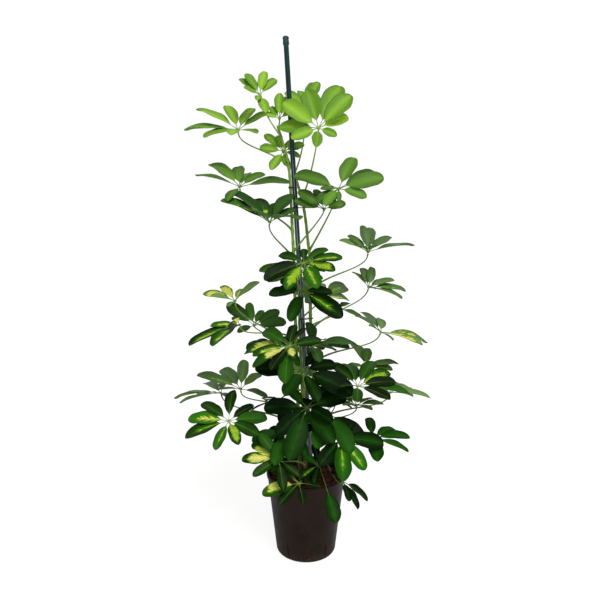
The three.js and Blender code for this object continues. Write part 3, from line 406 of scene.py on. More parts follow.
class Skin:
    """Points, faces, material numbers and point values that become one mesh."""

    def __init__(self, *value_names):
        self.count = 0
        self.points = []
        self.faces = []
        self.slots = []
        self.values = {name: [] for name in value_names}

    def add_points(self, points, **values):
        points = np.asarray(points, float).reshape(-1, 3)
        start = self.count
        self.count += len(points)
        self.points.append(points)
        for name, rows in self.values.items():
            value = np.asarray(values.get(name, (0, 0, 0)), float)
            rows.append(np.broadcast_to(value, (len(points), 3)))
        return start

    def add_faces(self, faces, slots=0):
        self.faces += faces
        self.slots += [slots] * len(faces) if np.isscalar(slots) else slots

    def loft(self, rings, slots=0, closed=False, **values):
        """Rings of points, each counter-clockwise as seen from the next, joined by quads.

        slots is one number, or one for each column. A closed loft joins its last ring to its
        first, and any other gets a flat face at each end.
        """
        rings = np.asarray(rings, float)
        rows, columns = rings.shape[:2]
        grid = self.add_points(rings, **values) + np.arange(rows * columns).reshape(rows, columns)
        after = np.roll(grid, -1, axis=1)
        quads = np.stack([grid, after, np.roll(after, -1, axis=0), np.roll(grid, -1, axis=0)],
                         axis=-1)[:rows if closed else rows - 1]
        slots = [slots] * columns if np.isscalar(slots) else slots
        self.add_faces(quads.reshape(-1, 4).tolist(), slots * len(quads))
        if not closed:
            self.add_faces([grid[0, ::-1].tolist(), grid[-1].tolist()], slots[0])

    def build(self, name, materials, sharp_angle=None, trimmed=True):
        """The mesh object. Edges sharper than an angle in degrees look sharp."""
        mesh = bpy.data.meshes.new(name)
        points = np.concatenate(self.points) * MM
        # A leaflet's tip may lie a hair outside the solids' box, and is trimmed to it.
        if trimmed:
            points = np.clip(points, *CAD_BOX)
        mesh.from_pydata(points.tolist(), [], self.faces)
        for value_name, rows in self.values.items():
            attribute = mesh.attributes.new(value_name, "FLOAT_VECTOR", "POINT")
            flat = np.concatenate(rows).astype(np.float32).ravel()
            attribute.data.foreach_set("vector", flat)
        for material in materials:
            mesh.materials.append(material)
        mesh.polygons.foreach_set("material_index", self.slots)
        mesh.polygons.foreach_set("use_smooth", [True] * len(mesh.polygons))
        if sharp_angle is not None:
            shape = bmesh.new()
            shape.from_mesh(mesh)
            bmesh.ops.recalc_face_normals(shape, faces=shape.faces)
            for edge in shape.edges:
                if len(edge.link_faces) == 2:
                    edge.smooth = edge.calc_face_angle() < math.radians(sharp_angle)
            shape.to_mesh(mesh)
            shape.free()
        mesh.update()
        piece = bpy.data.objects.new(name, mesh)
        bpy.context.scene.collection.objects.link(piece)
        return piece


def tube_ring(place, radius, side, ahead, sides):
    """One ring of a round tube. Its first corner is half a step past its side."""
    turns = (np.arange(sides) + 0.5) / sides * 2 * math.pi
    return place + radius * (np.outer(np.cos(turns), side) + np.outer(np.sin(turns), ahead))


def tube_rings(places, radii, side, sides):
    """Rings of a round tube along places, with the first side kept turning as little as it can."""
    rings = []
    for place, way, radius in zip(places, np.gradient(places, axis=0), radii):
        way = unit(way)
        side = unit(side - way * np.dot(side, way))
        rings.append(tube_ring(place, radius, side, np.cross(way, side), sides))
    return rings


def lathe_rings(profile, turns):
    """Rings round the Z axis, one for each (radius, height) of the profile."""
    circle = np.stack([np.cos(turns), np.sin(turns), 0 * turns], axis=1)
    return np.array([radius * circle + height * UP for radius, height in profile])


def place_piece(skin, name, node, slot, materials, sharp_angle=None):
    """A piece that stands for a solid: it hides the solid and hangs from the root body. The slot is
    not used.
    """
    piece = skin.build(name, materials, sharp_angle)
    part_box(node)
    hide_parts(node)
    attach(piece, "root")


# Shader nodes

def math_step(operation, turned=False):
    """A sign of arithmetic for Value: it adds one math node."""
    def step(first, second):
        ends = (second, first) if turned else (first, second)
        return first.net.math(operation, *ends)
    return step


class Value:
    """What a node of a shader tree puts out. Plain arithmetic on numbers adds math nodes."""
    __add__ = math_step("ADD")
    __radd__ = math_step("ADD", turned=True)
    __sub__ = math_step("SUBTRACT")
    __rsub__ = math_step("SUBTRACT", turned=True)
    __mul__ = math_step("MULTIPLY")
    __truediv__ = math_step("DIVIDE")
    __rtruediv__ = math_step("DIVIDE", turned=True)
    at_least = math_step("MAXIMUM")

    def __init__(self, net, socket):
        self.net = net
        self.socket = socket

    def __abs__(self):
        return self.net.math("ABSOLUTE", self)

    def clamped(self):
        """The same number, kept between 0 and 1."""
        self.socket.node.use_clamp = True
        return self


class Net:
    """Adds nodes to one shader tree. A plain value given for a socket is set on it."""

    def __init__(self, tree, material=None):
        self.tree = tree
        self.material = material

    def feed(self, socket, value):
        if isinstance(value, Value):
            self.tree.links.new(value.socket, socket)
        elif socket.type == "RGBA" and len(value) == 3:
            socket.default_value = (*value, 1)
        else:
            socket.default_value = value

    def node(self, kind, inputs=(), **settings):
        made = self.tree.nodes.new(kind)
        for name, value in settings.items():
            setattr(made, name, value)
        for name, value in dict(inputs).items():
            self.feed(made.inputs[name], value)
        return made

    def value(self, kind, inputs=(), output=0, **settings):
        return Value(self, self.node(kind, inputs, **settings).outputs[output])

    def math(self, operation, *values):
        return self.value("ShaderNodeMath", enumerate(values), operation=operation)

    def mix(self, share, a, b, beyond=False):
        """Blend of two colours. With beyond, a share over 1 goes on past the second one."""
        return self.value("ShaderNodeMix", {0: share, 6: a, 7: b}, 2, data_type="RGBA",
                          clamp_factor=not beyond)

    def ramp(self, value, low, high, to_low=0, to_high=1):
        """Smooth step of a value from low to high."""
        return self.value("ShaderNodeMapRange", enumerate((value, low, high, to_low, to_high)),
                          interpolation_type="SMOOTHSTEP")

    def split(self, vector):
        parts = self.node("ShaderNodeSeparateXYZ", {0: vector}).outputs
        return [Value(self, part) for part in parts]

    def values(self, name):
        """The three numbers that each point of the mesh has under a name."""
        return self.split(self.value("ShaderNodeAttribute", (), "Vector", attribute_name=name))

    def noise(self, vector, scale, detail, roughness):
        return self.value("ShaderNodeTexNoise", {
            "Vector": vector, "Scale": scale, "Detail": detail, "Roughness": roughness}, "Fac")

    def place(self):
        """Place on the piece, in metres."""
        return self.value("ShaderNodeTexCoord", (), "Object")

    def drawn_noise(self, scales, detail, roughness):
        """Noise with a scale of its own along each axis of the piece."""
        spot = self.value("ShaderNodeVectorMath", {0: self.place(), 1: scales},
                          operation="MULTIPLY")
        return self.noise(spot, 1, detail, roughness)

    def group(self, name, **inputs):
        """A shared group, which is built once and placed in each material that uses it."""
        tree = bpy.data.node_groups.get(name) or build_group(name)
        made = self.node("ShaderNodeGroup", {key.title(): value for key, value in inputs.items()},
                         node_tree=tree)
        return {socket.name: Value(self, socket) for socket in made.outputs}

    def mottle(self, size):
        clouds = self.group("mottle", size=size)
        return clouds["Large"], clouds["Small"]


VEIN_COUNT = 11
VEIN_SLANT = 0.3


def vein_course(across, along):
    """Distance from the midrib, and how far along it the side vein through a point starts."""
    side = abs(across)
    return side, along - side * VEIN_SLANT


def leaf_veins(net, across, along, offset):
    """Masks of the midrib and the side veins of a blade."""
    side, course = vein_course(across, along)
    share = abs(offset) / (1.15 - along).at_least(0.2)
    away = abs(net.math("FRACT", course * VEIN_COUNT) - 0.5)
    return {"Midrib": net.ramp(share, 0.45, 1.3, 1, 0),
            "Veins": net.ramp(away, 0.02, 0.14, 1, 0) * net.ramp(side, 0.7, 1, 1, 0)}


def leaf_splash(net, across, along, seed, reach, raggedness):
    """Masks of a blade's yellow part and of the lighter green round it, ragged along the veins."""
    side, course = vein_course(across, along)

    def streaks(down, over, detail):
        spot = (course * down, across * over, seed * 41)
        return net.noise(net.value("ShaderNodeCombineXYZ", enumerate(spot)), 1, detail, 0.65)

    inside = reach + (streaks(14, 1.1, 4) - 0.5) * raggedness - side
    return {"Splash": net.ramp(inside, -0.08, 0.1),
            "Depth": net.ramp(inside, 0, 0.38),
            "Halo": net.ramp(inside, -0.45, 0),
            "Flecks": net.ramp(streaks(22, 1.8, 3), 0.48, 0.62) * net.ramp(inside, 0, 0.5, 1, 0.4)}


def mottle(net, size):
    """Soft cloudy variation fixed to the piece: a large and a small one, each from 0 to 1."""
    scale = 1000 / size
    place = net.place()
    return {"Large": net.ramp(net.noise(place, scale, 3, 0.55), 0.3, 0.7),
            "Small": net.ramp(net.noise(place, scale * 7, 2, 0.6), 0.3, 0.7)}


# The shared effects and their inputs, with defaults
GROUPS = {
    "leaf_veins": (leaf_veins, {"Across": 0, "Along": 0, "Offset": 0}),
    "leaf_splash": (leaf_splash, {
        "Across": 0, "Along": 0, "Seed": 0, "Reach": 0, "Raggedness": 1}),
    "mottle": (mottle, {"Size": 10}),
}


def build_group(name):
    """A shader node group whose inputs and outputs are all plain numbers."""
    effect, inputs = GROUPS[name]
    tree = bpy.data.node_groups.new(name, "ShaderNodeTree")

    def add_socket(socket, way):
        return tree.interface.new_socket(socket, in_out=way, socket_type="NodeSocketFloat")

    for socket, default in inputs.items():
        add_socket(socket, "INPUT").default_value = default
    net = Net(tree)
    given = net.node("NodeGroupInput").outputs
    results = effect(net, *(Value(net, given[socket]) for socket in inputs))
    for socket in results:
        add_socket(socket, "OUTPUT")
    net.node("NodeGroupOutput", results)
    return tree


def new_material(name):
    material = bpy.data.materials.new(name)
    material.use_nodes = True
    material.node_tree.nodes.clear()
    return Net(material.node_tree, material)


def close_material(net, colour, roughness, relief, bump, depth, **constants):
    """Closes a material with its Principled shader. depth is the relief's height in mm."""
    normal = net.value("ShaderNodeBump", {"Height": relief, "Strength": bump,
                                          "Distance": depth * MM})
    shader = net.node("ShaderNodeBsdfPrincipled", {
        "Base Color": colour, "Roughness": roughness, "Normal": normal})
    for name, value in constants.items():
        net.feed(shader.inputs[name.replace("_", " ").title().replace("Ior", "IOR")], value)
    net.node("ShaderNodeOutputMaterial", {"Surface": Value(net, shader.outputs[0])})
    return net.material


def blade_material(name, colours, kind, under=False):
    """A blade's upper or under side. Its points carry their place on the blade, the leaflet's
    numbers and how far the yellow reaches."""
    net = new_material(name)
    look = LOOKS[kind]
    across, along, offset = net.values("blade")
    seed, pale, fresh = net.values("leaflet")
    reach, raggedness, _ = net.values("yellow")
    veins = net.group("leaf_veins", across=across, along=along, offset=offset)
    splash = net.group("leaf_splash", across=across, along=along, seed=seed, reach=reach,
                       raggedness=raggedness)
    large, small = net.mottle(22)
    deep, light, vein = greens(colours, kind)
    middle = net.ramp(abs(across), 0.2, 0.95, 0.38, 0.06)
    heart = net.ramp(abs(across) + large * 0.4, 0.15, 1, 0.6 * look.heart, -0.4 * look.heart)
    # fresh holds each leaflet's brighter green, and for some leaflets it also holds painted light and
    # painted shade.
    shade = fresh + large * middle + net.ramp(along, 0, 0.5, 0.12, 0) + heart
    green = net.mix(shade.at_least(0), deep, light, beyond=True)
    ribs = veins["Midrib"] * look.ribs + veins["Veins"] * 0.1
    green = net.mix(ribs.clamped(), green, vein)
    green = net.mix(splash["Halo"] * 0.6, green, colours.halo)
    gold = net.mix((pale + large * 0.2).clamped(), colours.yellow, colours.cream)
    gold = net.mix(splash["Depth"] * net.ramp(pale, -1, 0), colours.lime, gold)
    gold = net.mix(splash["Flecks"] * 0.8, gold, colours.halo)
    colour = net.mix(splash["Splash"], green, gold)
    if under:
        colour = net.mix(0.3, colour, colours.underside)
    relief = veins["Midrib"] * 1.4 + veins["Veins"] * 0.8 + small * 0.25
    roughness = (0.58 if under else 0.4) + small * 0.1
    return close_material(net, colour, roughness, relief * (1 if under else -1), bump=0.35,
                          depth=0.35, specular_ior_level=look.gloss)


def stalk_material(name, colours, kind):
    """Leaf stalks: cloudy light green, and whitish where the mesh says so."""
    net = new_material(name)
    own, pale, _ = net.values("leaflet")
    large, small = net.mottle(6)
    tone = large * 0.5 + own * 0.4
    colour = net.mix(tone.clamped(), colours.stalk, greens(colours, kind)[2])
    colour = net.mix(pale * 0.75, colour, colours.pale_stalk)
    return close_material(net, colour, 0.42 + small * 0.12, small, bump=0.2, depth=0.15,
                          specular_ior_level=0.3)


def greens(colours, kind):
    """A look's darker green, lighter green and green of ribs and stalks."""
    return [getattr(colours, f"{kind}_{tone}") for tone in ("deep", "fresh", "vein")]


def leaf_materials(colours, kind):
    """The three materials of a look, built once and shared by its leaves."""
    names = [f"leaf_{kind}_{part}" for part in ("top", "under", "stalk")]
    if names[0] not in bpy.data.materials:
        blade_material(names[0], colours, kind)
        blade_material(names[1], colours, kind, under=True)
        stalk_material(names[2], colours, kind)
    return [bpy.data.materials[name] for name in names]


def bark_material(colours):
    """Stem bark: yellow-green high up and brown low down, with pale pores and a browner ring
    at each leaf scar."""
    net = new_material("stem_bark")
    height = net.split(net.place())[2]
    scar = net.values("leaflet")[1]
    large, _ = net.mottle(9)
    streaks = net.drawn_noise((900, 900, 60), 3, 0.6)
    age = (net.ramp(height, 0.2, 0.4, 1, -0.15) + (large - 0.5) * 0.5).clamped()
    green = net.mix(net.ramp(streaks, 0.35, 0.65), colours.bark_green, colours.bark_yellow)
    colour = net.mix(age, green, colours.bark_brown)
    pores = net.ramp(net.noise(net.place(), 420, 1, 0.4), 0.62, 0.7)
    colour = net.mix(pores * 0.5, colour, colours.bark_pore)
    colour = net.mix(scar * (0.2 + age * 0.5), colour, colours.bark_brown)
    return close_material(net, colour, 0.5 + age * 0.25, streaks + pores * 0.6, bump=0.4,
                          depth=0.4, specular_ior_level=0.3)


def coating_material(colours):
    """The stake's smooth coating: dark blue-green, glossy, with drawn streaks lengthwise."""
    net = new_material("stake_coating")
    streaks = net.drawn_noise((1400, 1400, 9), 2, 0.5)
    large, small = net.mottle(25)
    tone = streaks * 0.6 + large * 0.4
    colour = net.mix(tone.clamped(), colours.stake_dark, colours.stake_light)
    return close_material(net, colour, 0.3 + small * 0.1, streaks, bump=0.05, depth=0.1,
                          coat_weight=1, coat_roughness=0.1, coat_ior=1.65,
                          specular_ior_level=0.2)


def plastic_material(name, dark, light, rough, size):
    """Moulded plastic with a slightly uneven sheen and a fine grain."""
    net = new_material(name)
    large, small = net.mottle(size)
    colour = net.mix(large, dark, light)
    return close_material(net, colour, rough + small * 0.15, small, bump=0.15, depth=0.15)


def pot_material(colours):
    """The pot's brown plastic: cloudy, with flow lines round it, a dusty foot and fine grain."""
    net = new_material("pot_plastic")
    height = net.split(net.place())[2]
    large, small = net.mottle(30)
    colour = net.mix(large, colours.pot_dark, colours.pot_brown)
    flow = net.drawn_noise((8, 8, 260), 2, 0.5)
    colour = net.mix(net.ramp(height, 0.08, 0.19, 0, 0.4), colour, colours.pot_warm)
    stain = net.ramp(height, 0.012, 0.05, 0.5, 0) * large * net.ramp(height, 0.004, 0.016)
    colour = net.mix(stain, colour, colours.pot_stain)
    dust = net.ramp(height, 0, 0.03, 0.35, 0) * small
    colour = net.mix(dust, colour, colours.pot_dust)
    return close_material(net, colour, 0.4 + large * 0.14 + dust, flow * 0.8 + small * 0.4,
                          bump=0.25, depth=0.3, specular_ior_level=0.14)


def clay_material(colours):
    """Expanded clay: each pebble has its own tone, with a powdery, finely pitted skin."""
    net = new_material("expanded_clay")
    own, dusty, _ = net.values("leaflet")
    large, small = net.mottle(7)
    tone = own * 0.75 + large * 0.25
    colour = net.mix(tone.clamped(), colours.clay_dark, colours.clay_red)
    colour = net.mix(net.ramp(dusty, 0.7, 1, 0, 0.6), colour, colours.clay_pale)
    pits = net.noise(net.place(), 900, 3, 0.7)
    return close_material(net, colour, 0.82 + small * 0.12, pits, bump=0.6, depth=0.6)


# Pot

def build_pot(sizes, colours):
    edge, height, wall, floor = (POT[key] for key in ("edge_round", "height", "wall", "floor"))
    lip = height - POT["lip_height"]
    profile = [(POT["middle"], 0)]
    profile += [(pot_radius(edge) - edge * (1 - math.sin(turn)), edge * (1 - math.cos(turn)))
                for turn in np.linspace(0, math.pi / 2, 7)]
    slot_out = len(profile)
    profile += [(pot_radius(z), z) for z in (SLOT["bottom"], SLOT["top"], *POT["outer_rows"])]
    profile += [(pot_radius(lip) + out, lip + up) for out, up in LIP_UNDER]
    profile += [(POT["rim_radius"] + out, height + up) for out, up in LIP_TOP]
    profile += [(pot_radius(z) - wall, z) for z in POT["inner_rows"]]
    slot_in = len(profile)
    profile += [(pot_radius(z) - wall, z) for z in (SLOT["top"], SLOT["bottom"], edge)]
    step_in, step_down = POT["inner_corner"]
    profile += [(pot_radius(edge) - wall - step_in, edge - step_down),
                (pot_radius(floor) - POT["inner_round"], floor), (POT["middle"], floor)]

    half_slot = math.degrees(SLOT["width"] / 2 / pot_radius(SLOT["bottom"]))
    sector = 360 / SLOT["count"]
    steps = sizes.pot_steps
    turns = []
    for k in range(SLOT["count"]):
        centre = SLOT["first_turn"] + k * sector
        turns += [centre - half_slot]
        turns += list(np.linspace(centre + half_slot, centre + sector - half_slot, steps)[:-1])
    columns = len(turns)
    skin = Skin()
    skin.loft(lathe_rings(profile, np.radians(turns)))

    # Each slot loses its face outside and inside, and gets four faces through the wall.
    slotted = range(0, columns, steps)
    doomed = {row * columns + column for row in (slot_out, slot_in) for column in slotted}
    skin.faces = [face for index, face in enumerate(skin.faces) if index not in doomed]
    out_low, out_high, in_high, in_low = (
        row * columns for row in (slot_out, slot_out + 1, slot_in, slot_in + 1))
    for a in slotted:
        b = (a + 1) % columns
        skin.faces += [(out_low + a, out_low + b, in_low + b, in_low + a),
                       (out_high + b, out_high + a, in_high + a, in_high + b),
                       (out_low + a, in_low + a, in_high + a, out_high + a),
                       (out_low + b, out_high + b, in_high + b, in_low + b)]
    skin.slots = [0] * len(skin.faces)
    place_piece(skin, "culture_pot", "pot", "culture_pot", [pot_material(colours)], 38)


# Clay pebbles

def pebble_ball():
    """A fine ball of radius 1: its points and faces."""
    shape = bmesh.new()
    bmesh.ops.create_icosphere(shape, subdivisions=3, radius=1)
    points = np.array([tuple(vertex.co) for vertex in shape.verts])
    faces = [[vertex.index for vertex in face.verts] for face in shape.faces]
    shape.free()
    return points, faces


def pebble_places(sizes):
    """Two layers of pebbles, clear of the stems and the stake: place, radius and seed of each."""
    level = CLAY["level"]
    posts = [(stem_place(name, level), stem_radius(name, level)) for name in STEMS]
    posts.append((stake_place(level), STAKE["radius"]))
    pitch = sizes.pebble_pitch
    rows = int(POT["rim_radius"] / pitch) + 2
    shift, (shift_x, shift_y) = PEBBLE["shift"], PEBBLE["layer_shift"]
    for layer, depth in enumerate(PEBBLE["layers"]):
        for row in range(-rows, rows + 1):
            for column in range(-rows, rows + 1):
                seed = (layer * 97 + row) * 131 + column
                radius = sizes.pebble_radius * between(PEBBLE["size"], seed, 1)
                x = (column + row % 2 / 2 + shift_x * layer + between(shift, seed, 2)) * pitch
                y = (row * PEBBLE["row_step"] + shift_y * layer + between(shift, seed, 3)) * pitch
                z = level - depth + between(PEBBLE["height"], seed, 4)
                inside = pot_radius(z) - POT["wall"] - PEBBLE["wall_ease"] - radius
                near = radius + PEBBLE["post_ease"]
                blocked = any(math.hypot(x - place[0], y - place[1]) < near + thick
                              for place, thick in posts)
                if math.hypot(x, y) <= inside and not blocked:
                    yield np.array([x, y, z]), radius, seed


def build_clay(sizes, colours):
    ease = POT["wall"] + CLAY["ease"]
    floor, corner, level = CLAY["bed_floor"], CLAY["bed_corner"], CLAY["bed_level"]
    bed = [(1, floor), (POT["base_radius"] - ease - POT["inner_round"], floor),
           (pot_radius(corner) - ease, corner), (pot_radius(level) - ease, level), (1, level)]
    skin = Skin("leaflet")
    skin.loft(lathe_rings(bed, round_turns(64)), leaflet=(0.1, 0, 0))
    ball, faces = pebble_ball()
    for place, radius, seed in pebble_places(sizes):
        dents = np.zeros(len(ball))
        for k in range(PEBBLE["dents"]):
            way = unit(np.array([between((-1, 1), seed, 10 + 3 * k + axis) for axis in range(3)]))
            dents += between(PEBBLE["dent"], seed, 30 + k) * np.clip(ball @ way, 0, 1) ** 2
        squash = [between(ends, seed, 5 + axis) for axis, ends in enumerate(PEBBLE["squash"])]
        start = skin.add_points(place + ball * squash * (radius * (1 + dents))[:, None],
                                leaflet=(chance(seed, 8), chance(seed, 9), 0))
        skin.add_faces([[start + index for index in face] for face in faces])
    clay = clay_material(colours)
    place_piece(skin, "clay_pebble_filling", "clay_pebbles", "expanded_clay", [clay])


# Stake, cap and ties

def build_stake(sizes, colours):
    foot, top = np.array(STAKE["bottom"], float), np.array(STAKE["top"], float)
    way = unit(top - foot)
    length = np.linalg.norm(top - foot)
    margin, end = STAKE["margin"], STAKE["end_length"]
    stops = [0, end, *np.linspace(margin, length - margin, STAKE["rows"]), length - end, length]
    radii = [STAKE["radius"] - STAKE["end_step"] * (stop in (0, length)) for stop in stops]
    skin = Skin()
    skin.loft(tube_rings(foot + np.outer(stops, way), radii, RIGHT, sizes.round_steps))
    place_piece(skin, "coated_stake", "stake", "stake_coating", [coating_material(colours)], 50)

    bore, radius, rise, shoulder = (CAP[key] for key in ("bore", "radius", "height", "shoulder"))
    profile = [(bore, -CAP["depth"])]
    profile += [(radius - step, height) for step, height in CAP_SKIRT]
    profile += [(radius * math.cos(turn), shoulder + (rise - shoulder) * math.sin(turn))
                for turn in np.arange(1, 8) * math.pi / 16]
    profile += [(0.4, rise), (0.2, CAP["ceiling"]), (bore, CAP["ceiling"])]
    rings = lathe_rings(profile, round_turns(sizes.round_steps))
    side = unit(RIGHT - way * way[0])
    skin = Skin()
    skin.loft(rings @ np.array([side, np.cross(way, side), way]) + top, closed=True)
    plastic = plastic_material("cap_plastic", colours.stake_dark, colours.cap_light, 0.34, 8)
    place_piece(skin, "stake_cap_knob", "stake_cap", "cap_plastic", [plastic], 50)


def tie_path(height, stem):
    """The middle of a tie's wire: half round the stake, half round the stem."""
    post, held = stake_place(height), stem_place(stem, height)
    turn = math.atan2(held[1] - post[1], held[0] - post[0])
    path = []
    for centre, radius, first in ((post, STAKE["radius"], 90),
                                  (held, stem_radius(stem, height), 270)):
        for k in range(TIE["half_steps"] + 1):
            swing = turn + math.radians(first + k * 180 / TIE["half_steps"])
            around = np.array([math.cos(swing), math.sin(swing), 0])
            path.append(centre + (radius + TIE["clearance"]) * around)
    return np.array(path)


def build_ties(sizes, colours):
    wire = plastic_material("tie_plastic", colours.tie_dark, colours.tie_light, 0.45, 4)
    for index, (name, (height, stem)) in enumerate(TIES.items()):
        path = tie_path(height, stem)
        ways = np.roll(path, -1, axis=0) - np.roll(path, 1, axis=0)
        skin = Skin()
        skin.loft([tube_ring(place, sizes.tie_radius, UP, np.cross(unit(way), UP), TIE["sides"])
                   for place, way in zip(path, ways)], closed=True)
        # Two twisted ends stand out from the knot at the front.
        knot = path[np.argmin(path[:, 1])]
        out = unit(np.array([between((-0.5, 0.5), index, 61), -1, between((-0.2, 0.5), index, 62)]))
        side = unit(np.cross(out, UP))
        t = np.linspace(0, 1, TIE["tail_steps"])
        radius = TIE["tail_share"] * sizes.tie_radius
        spread = radius * (1 + TIE["tail_spread"] * smooth(t, 0.8, 1))
        for strand in (0, math.pi):
            swing = strand + t * TIE["half_twists"] * math.pi
            line = (knot + np.outer(t * sizes.tie_tail, out)
                    + np.outer(spread * np.cos(swing), side)
                    + np.outer(spread * np.sin(swing), np.cross(out, side)))
            skin.loft(tube_rings(line, [radius] * len(t), side, TIE["tail_sides"]))
        place_piece(skin, f"{name}_wire", name, "tie_wire", [wire])


# Stems

def build_stems(sizes, colours):
    bark = bark_material(colours)
    for index, name in enumerate(STEMS):
        foot, tip = stem_ends(name)
        scars = [row.root for row in LEAVES if row.stem == name]
        scars += [foot + SCAR["first"] + k * SCAR["pitch"] + between(SCAR["shift"], index, k)
                  for k in range(int((tip - foot - SCAR["bare"]) / SCAR["pitch"]))]
        heights = [*np.arange(foot, tip, float(STEM["row"])), tip - STEM["tip"], tip]
        radii, marks = [], []
        for k, height in enumerate(heights):
            knob = sum(math.exp(-((height - scar) / SCAR["reach"]) ** 2) for scar in scars)
            radius = stem_radius(name, height) * (1 + STEM["uneven"] * (chance(index, k) - 0.5))
            radius += min(knob, 1.2) * SCAR["swell"]
            radii.append(radius * (STEM["tip_share"] if height == tip else 1))
            marks.append((chance(index, 90), min(knob, 1), 0))
        places = [stem_place(name, height) for height in heights]
        sides = sizes.stem_sides
        skin = Skin("leaflet")
        skin.loft(tube_rings(places, radii, RIGHT, sides), leaflet=np.repeat(marks, sides, axis=0))
        place_piece(skin, f"stem_{name}_bark", f"stem_{name}", "stem_bark", [bark])


# Leaves

class Arc:
    """The course of one leaflet from the hub to its tip."""

    def __init__(self, row, seed, leaflet, bend):
        size, bend_lift, bend_turn = bend
        look = LOOKS[row.look]
        low, self.normal, across = whorl_axes(row.face)
        swing = math.radians(leaflet.turn + bend_turn)
        self.hub = row.hub
        self.out = low * math.cos(swing) + across * math.sin(swing)
        self.droop = math.radians(look.droop * between(DROOP_SHARES, seed, 1))
        self.rise = math.radians(row.lift + leaflet.lift + bend_lift) + self.droop / 2
        self.roll = math.radians((chance(seed, 2) - 0.5) * ROLL_RANGE)
        self.full = leaflet.length * size
        self.foot = leaflet.stalk or STALK_SHARE
        blade_share = (1 - (leaflet.stalk or SOLID_STALK_SHARE)) / (1 - SOLID_STALK_SHARE)
        self.half_width = (self.full * blade_share * WIDTH_SHARE * look.broad
                           * between(WIDTH_SHARES, seed, 3))

    def place(self, share):
        slant = self.rise - self.droop * np.asarray(share, float)
        forward = self.full * (math.sin(self.rise) - np.sin(slant)) / self.droop
        upward = self.full * (np.cos(slant) - math.cos(self.rise)) / self.droop
        return (self.hub + np.multiply.outer(forward, self.out)
                + np.multiply.outer(upward, self.normal))

    def axes(self, share):
        """Side and top of the blade at each share of the way, each a row of three."""
        slant = self.rise - self.droop * np.asarray(share, float)
        way = np.outer(np.cos(slant), self.out) + np.outer(np.sin(slant), self.normal)
        flat_top = np.outer(np.cos(slant), self.normal) - np.outer(np.sin(slant), self.out)
        flat_side = np.cross(flat_top, way)
        top = flat_top * math.cos(self.roll) + flat_side * math.sin(self.roll)
        return np.cross(top, way), top


def leaflet_arc(row, seed, leaflet, corners):
    """The arc that the solid's leaflet took, found by its tip, or None if it was left off."""
    for bend in BENDS:
        arc = Arc(row, seed, leaflet, bend)
        if np.abs(corners - arc.place(1.0)).max(axis=1).min() < TIP_MATCH:
            return arc
    return None


# Places across a blade, from one edge to the other, closer together at the midrib and edges
ACROSS = np.array([1, 0.87, 0.63, 0.38, 0.13, 0, -0.13, -0.38, -0.63, -0.87, -1])


def blade_outline(t):
    """Half width as a share of the widest: wedge-shaped foot, broad past the middle, round tip."""
    body = (1 - np.abs(2 * t**1.16 - 1) ** 2.2) ** 0.53
    return body * (1 - np.exp(-t / 0.09))


def add_blade(skin, arc, seed, mark, sizes):
    """One blade: a thin closed skin, folded along its midrib, with waved edges and a ridge
    below the midrib."""
    t = 0.5 - 0.5 * np.cos(np.linspace(0, math.pi, sizes.blade_steps))
    share = arc.foot + (1 - arc.foot) * t
    half = np.maximum(arc.half_width * blade_outline(t), sizes.stalk_radius * (1 - t) + 0.15)
    places = arc.place(share)
    side, top = arc.axes(share)
    fold = math.radians(BLADE["fold"])

    def sheet(across, below):
        """Points of one side of the blade, and where each lies on it."""
        a, width = np.meshgrid(across, half)
        along = np.repeat(t[:, None], len(across), axis=1)
        phase = np.where(a > 0, chance(seed, 4), chance(seed, 5))
        swing = 2 * math.pi * (BLADE["edge_waves"] * along + phase)
        wave = np.sin(swing) * a**2 * sizes.edge_wave
        height = width * (np.abs(a) ** 1.25 * math.sin(fold) + wave)
        height -= width * BLADE["tip_dip"] * smooth(along, 0.8, 1) * (1 - a**2)
        ridge = np.exp(-((a * width / BLADE["ridge_width"]) ** 2)) * (1 - 0.75 * along)
        depth = sizes.blade_thickness / 2 * (1 - 0.5 * a**6)
        height += -(depth + BLADE["ridge"] * ridge) if below else depth - BLADE["groove"] * ridge
        swing = 2 * math.pi * (BLADE["outline_waves"] * along + 3 * phase)
        ripple = np.sin(swing) * smooth(along, 0.25, 0.5) * a**2
        reach = a * width * math.cos(fold) * (1 + sizes.outline_wave * ripple)
        points = (places[:, None, :] + reach[..., None] * side[:, None, :]
                  + height[..., None] * top[:, None, :])
        return points, np.stack([a, along, a * width], axis=-1)

    sheets = (sheet(ACROSS, below=False), sheet(ACROSS[::-1][1:-1], below=True))
    rings, spots = (np.concatenate(parts, axis=1) for parts in zip(*sheets))
    across, along = spots[..., 0], spots[..., 1]
    flat = smooth(along, mark.start - 0.1, mark.start + 0.1) * (
        1 - smooth(along, mark.end - 0.2, mark.end + 0.12))
    lean = mark.one_side * np.sign(chance(seed, 6) - 0.5) * across
    reach = (mark.reach + lean) * flat - 0.6 * (1 - flat)
    ragged = np.full_like(reach, min(1.9, 0.45 + 4 * max(mark.reach, 0)))
    # mark.fresh holds a brighter green, and for some marks it also holds painted light and painted
    # shade.
    fresh = 1.15 * chance(seed, 7) ** 2 + mark.fresh - 0.26
    half_round = len(ACROSS) - 1
    skin.loft(rings, slots=[0] * half_round + [1] * half_round, blade=spots.reshape(-1, 3),
              leaflet=(chance(seed, 8), mark.pale, fresh),
              yellow=np.stack([reach, ragged, 0 * reach], axis=-1).reshape(-1, 3))


def add_stalk(skin, arc, seed, pale, sizes):
    """The leaflet's own stalk, from inside the hub to a little way up the blade."""
    share = np.linspace(0.02, arc.foot + 0.035, 8)
    thin = np.array([1.5, 1.12, 1, 0.95, 0.92, 0.9, 0.85, 0.7])
    rings = tube_rings(arc.place(share), sizes.stalk_radius * thin, arc.normal + 0.01, 7)
    skin.loft(rings, slots=2, leaflet=(chance(seed, 9), pale, 0))


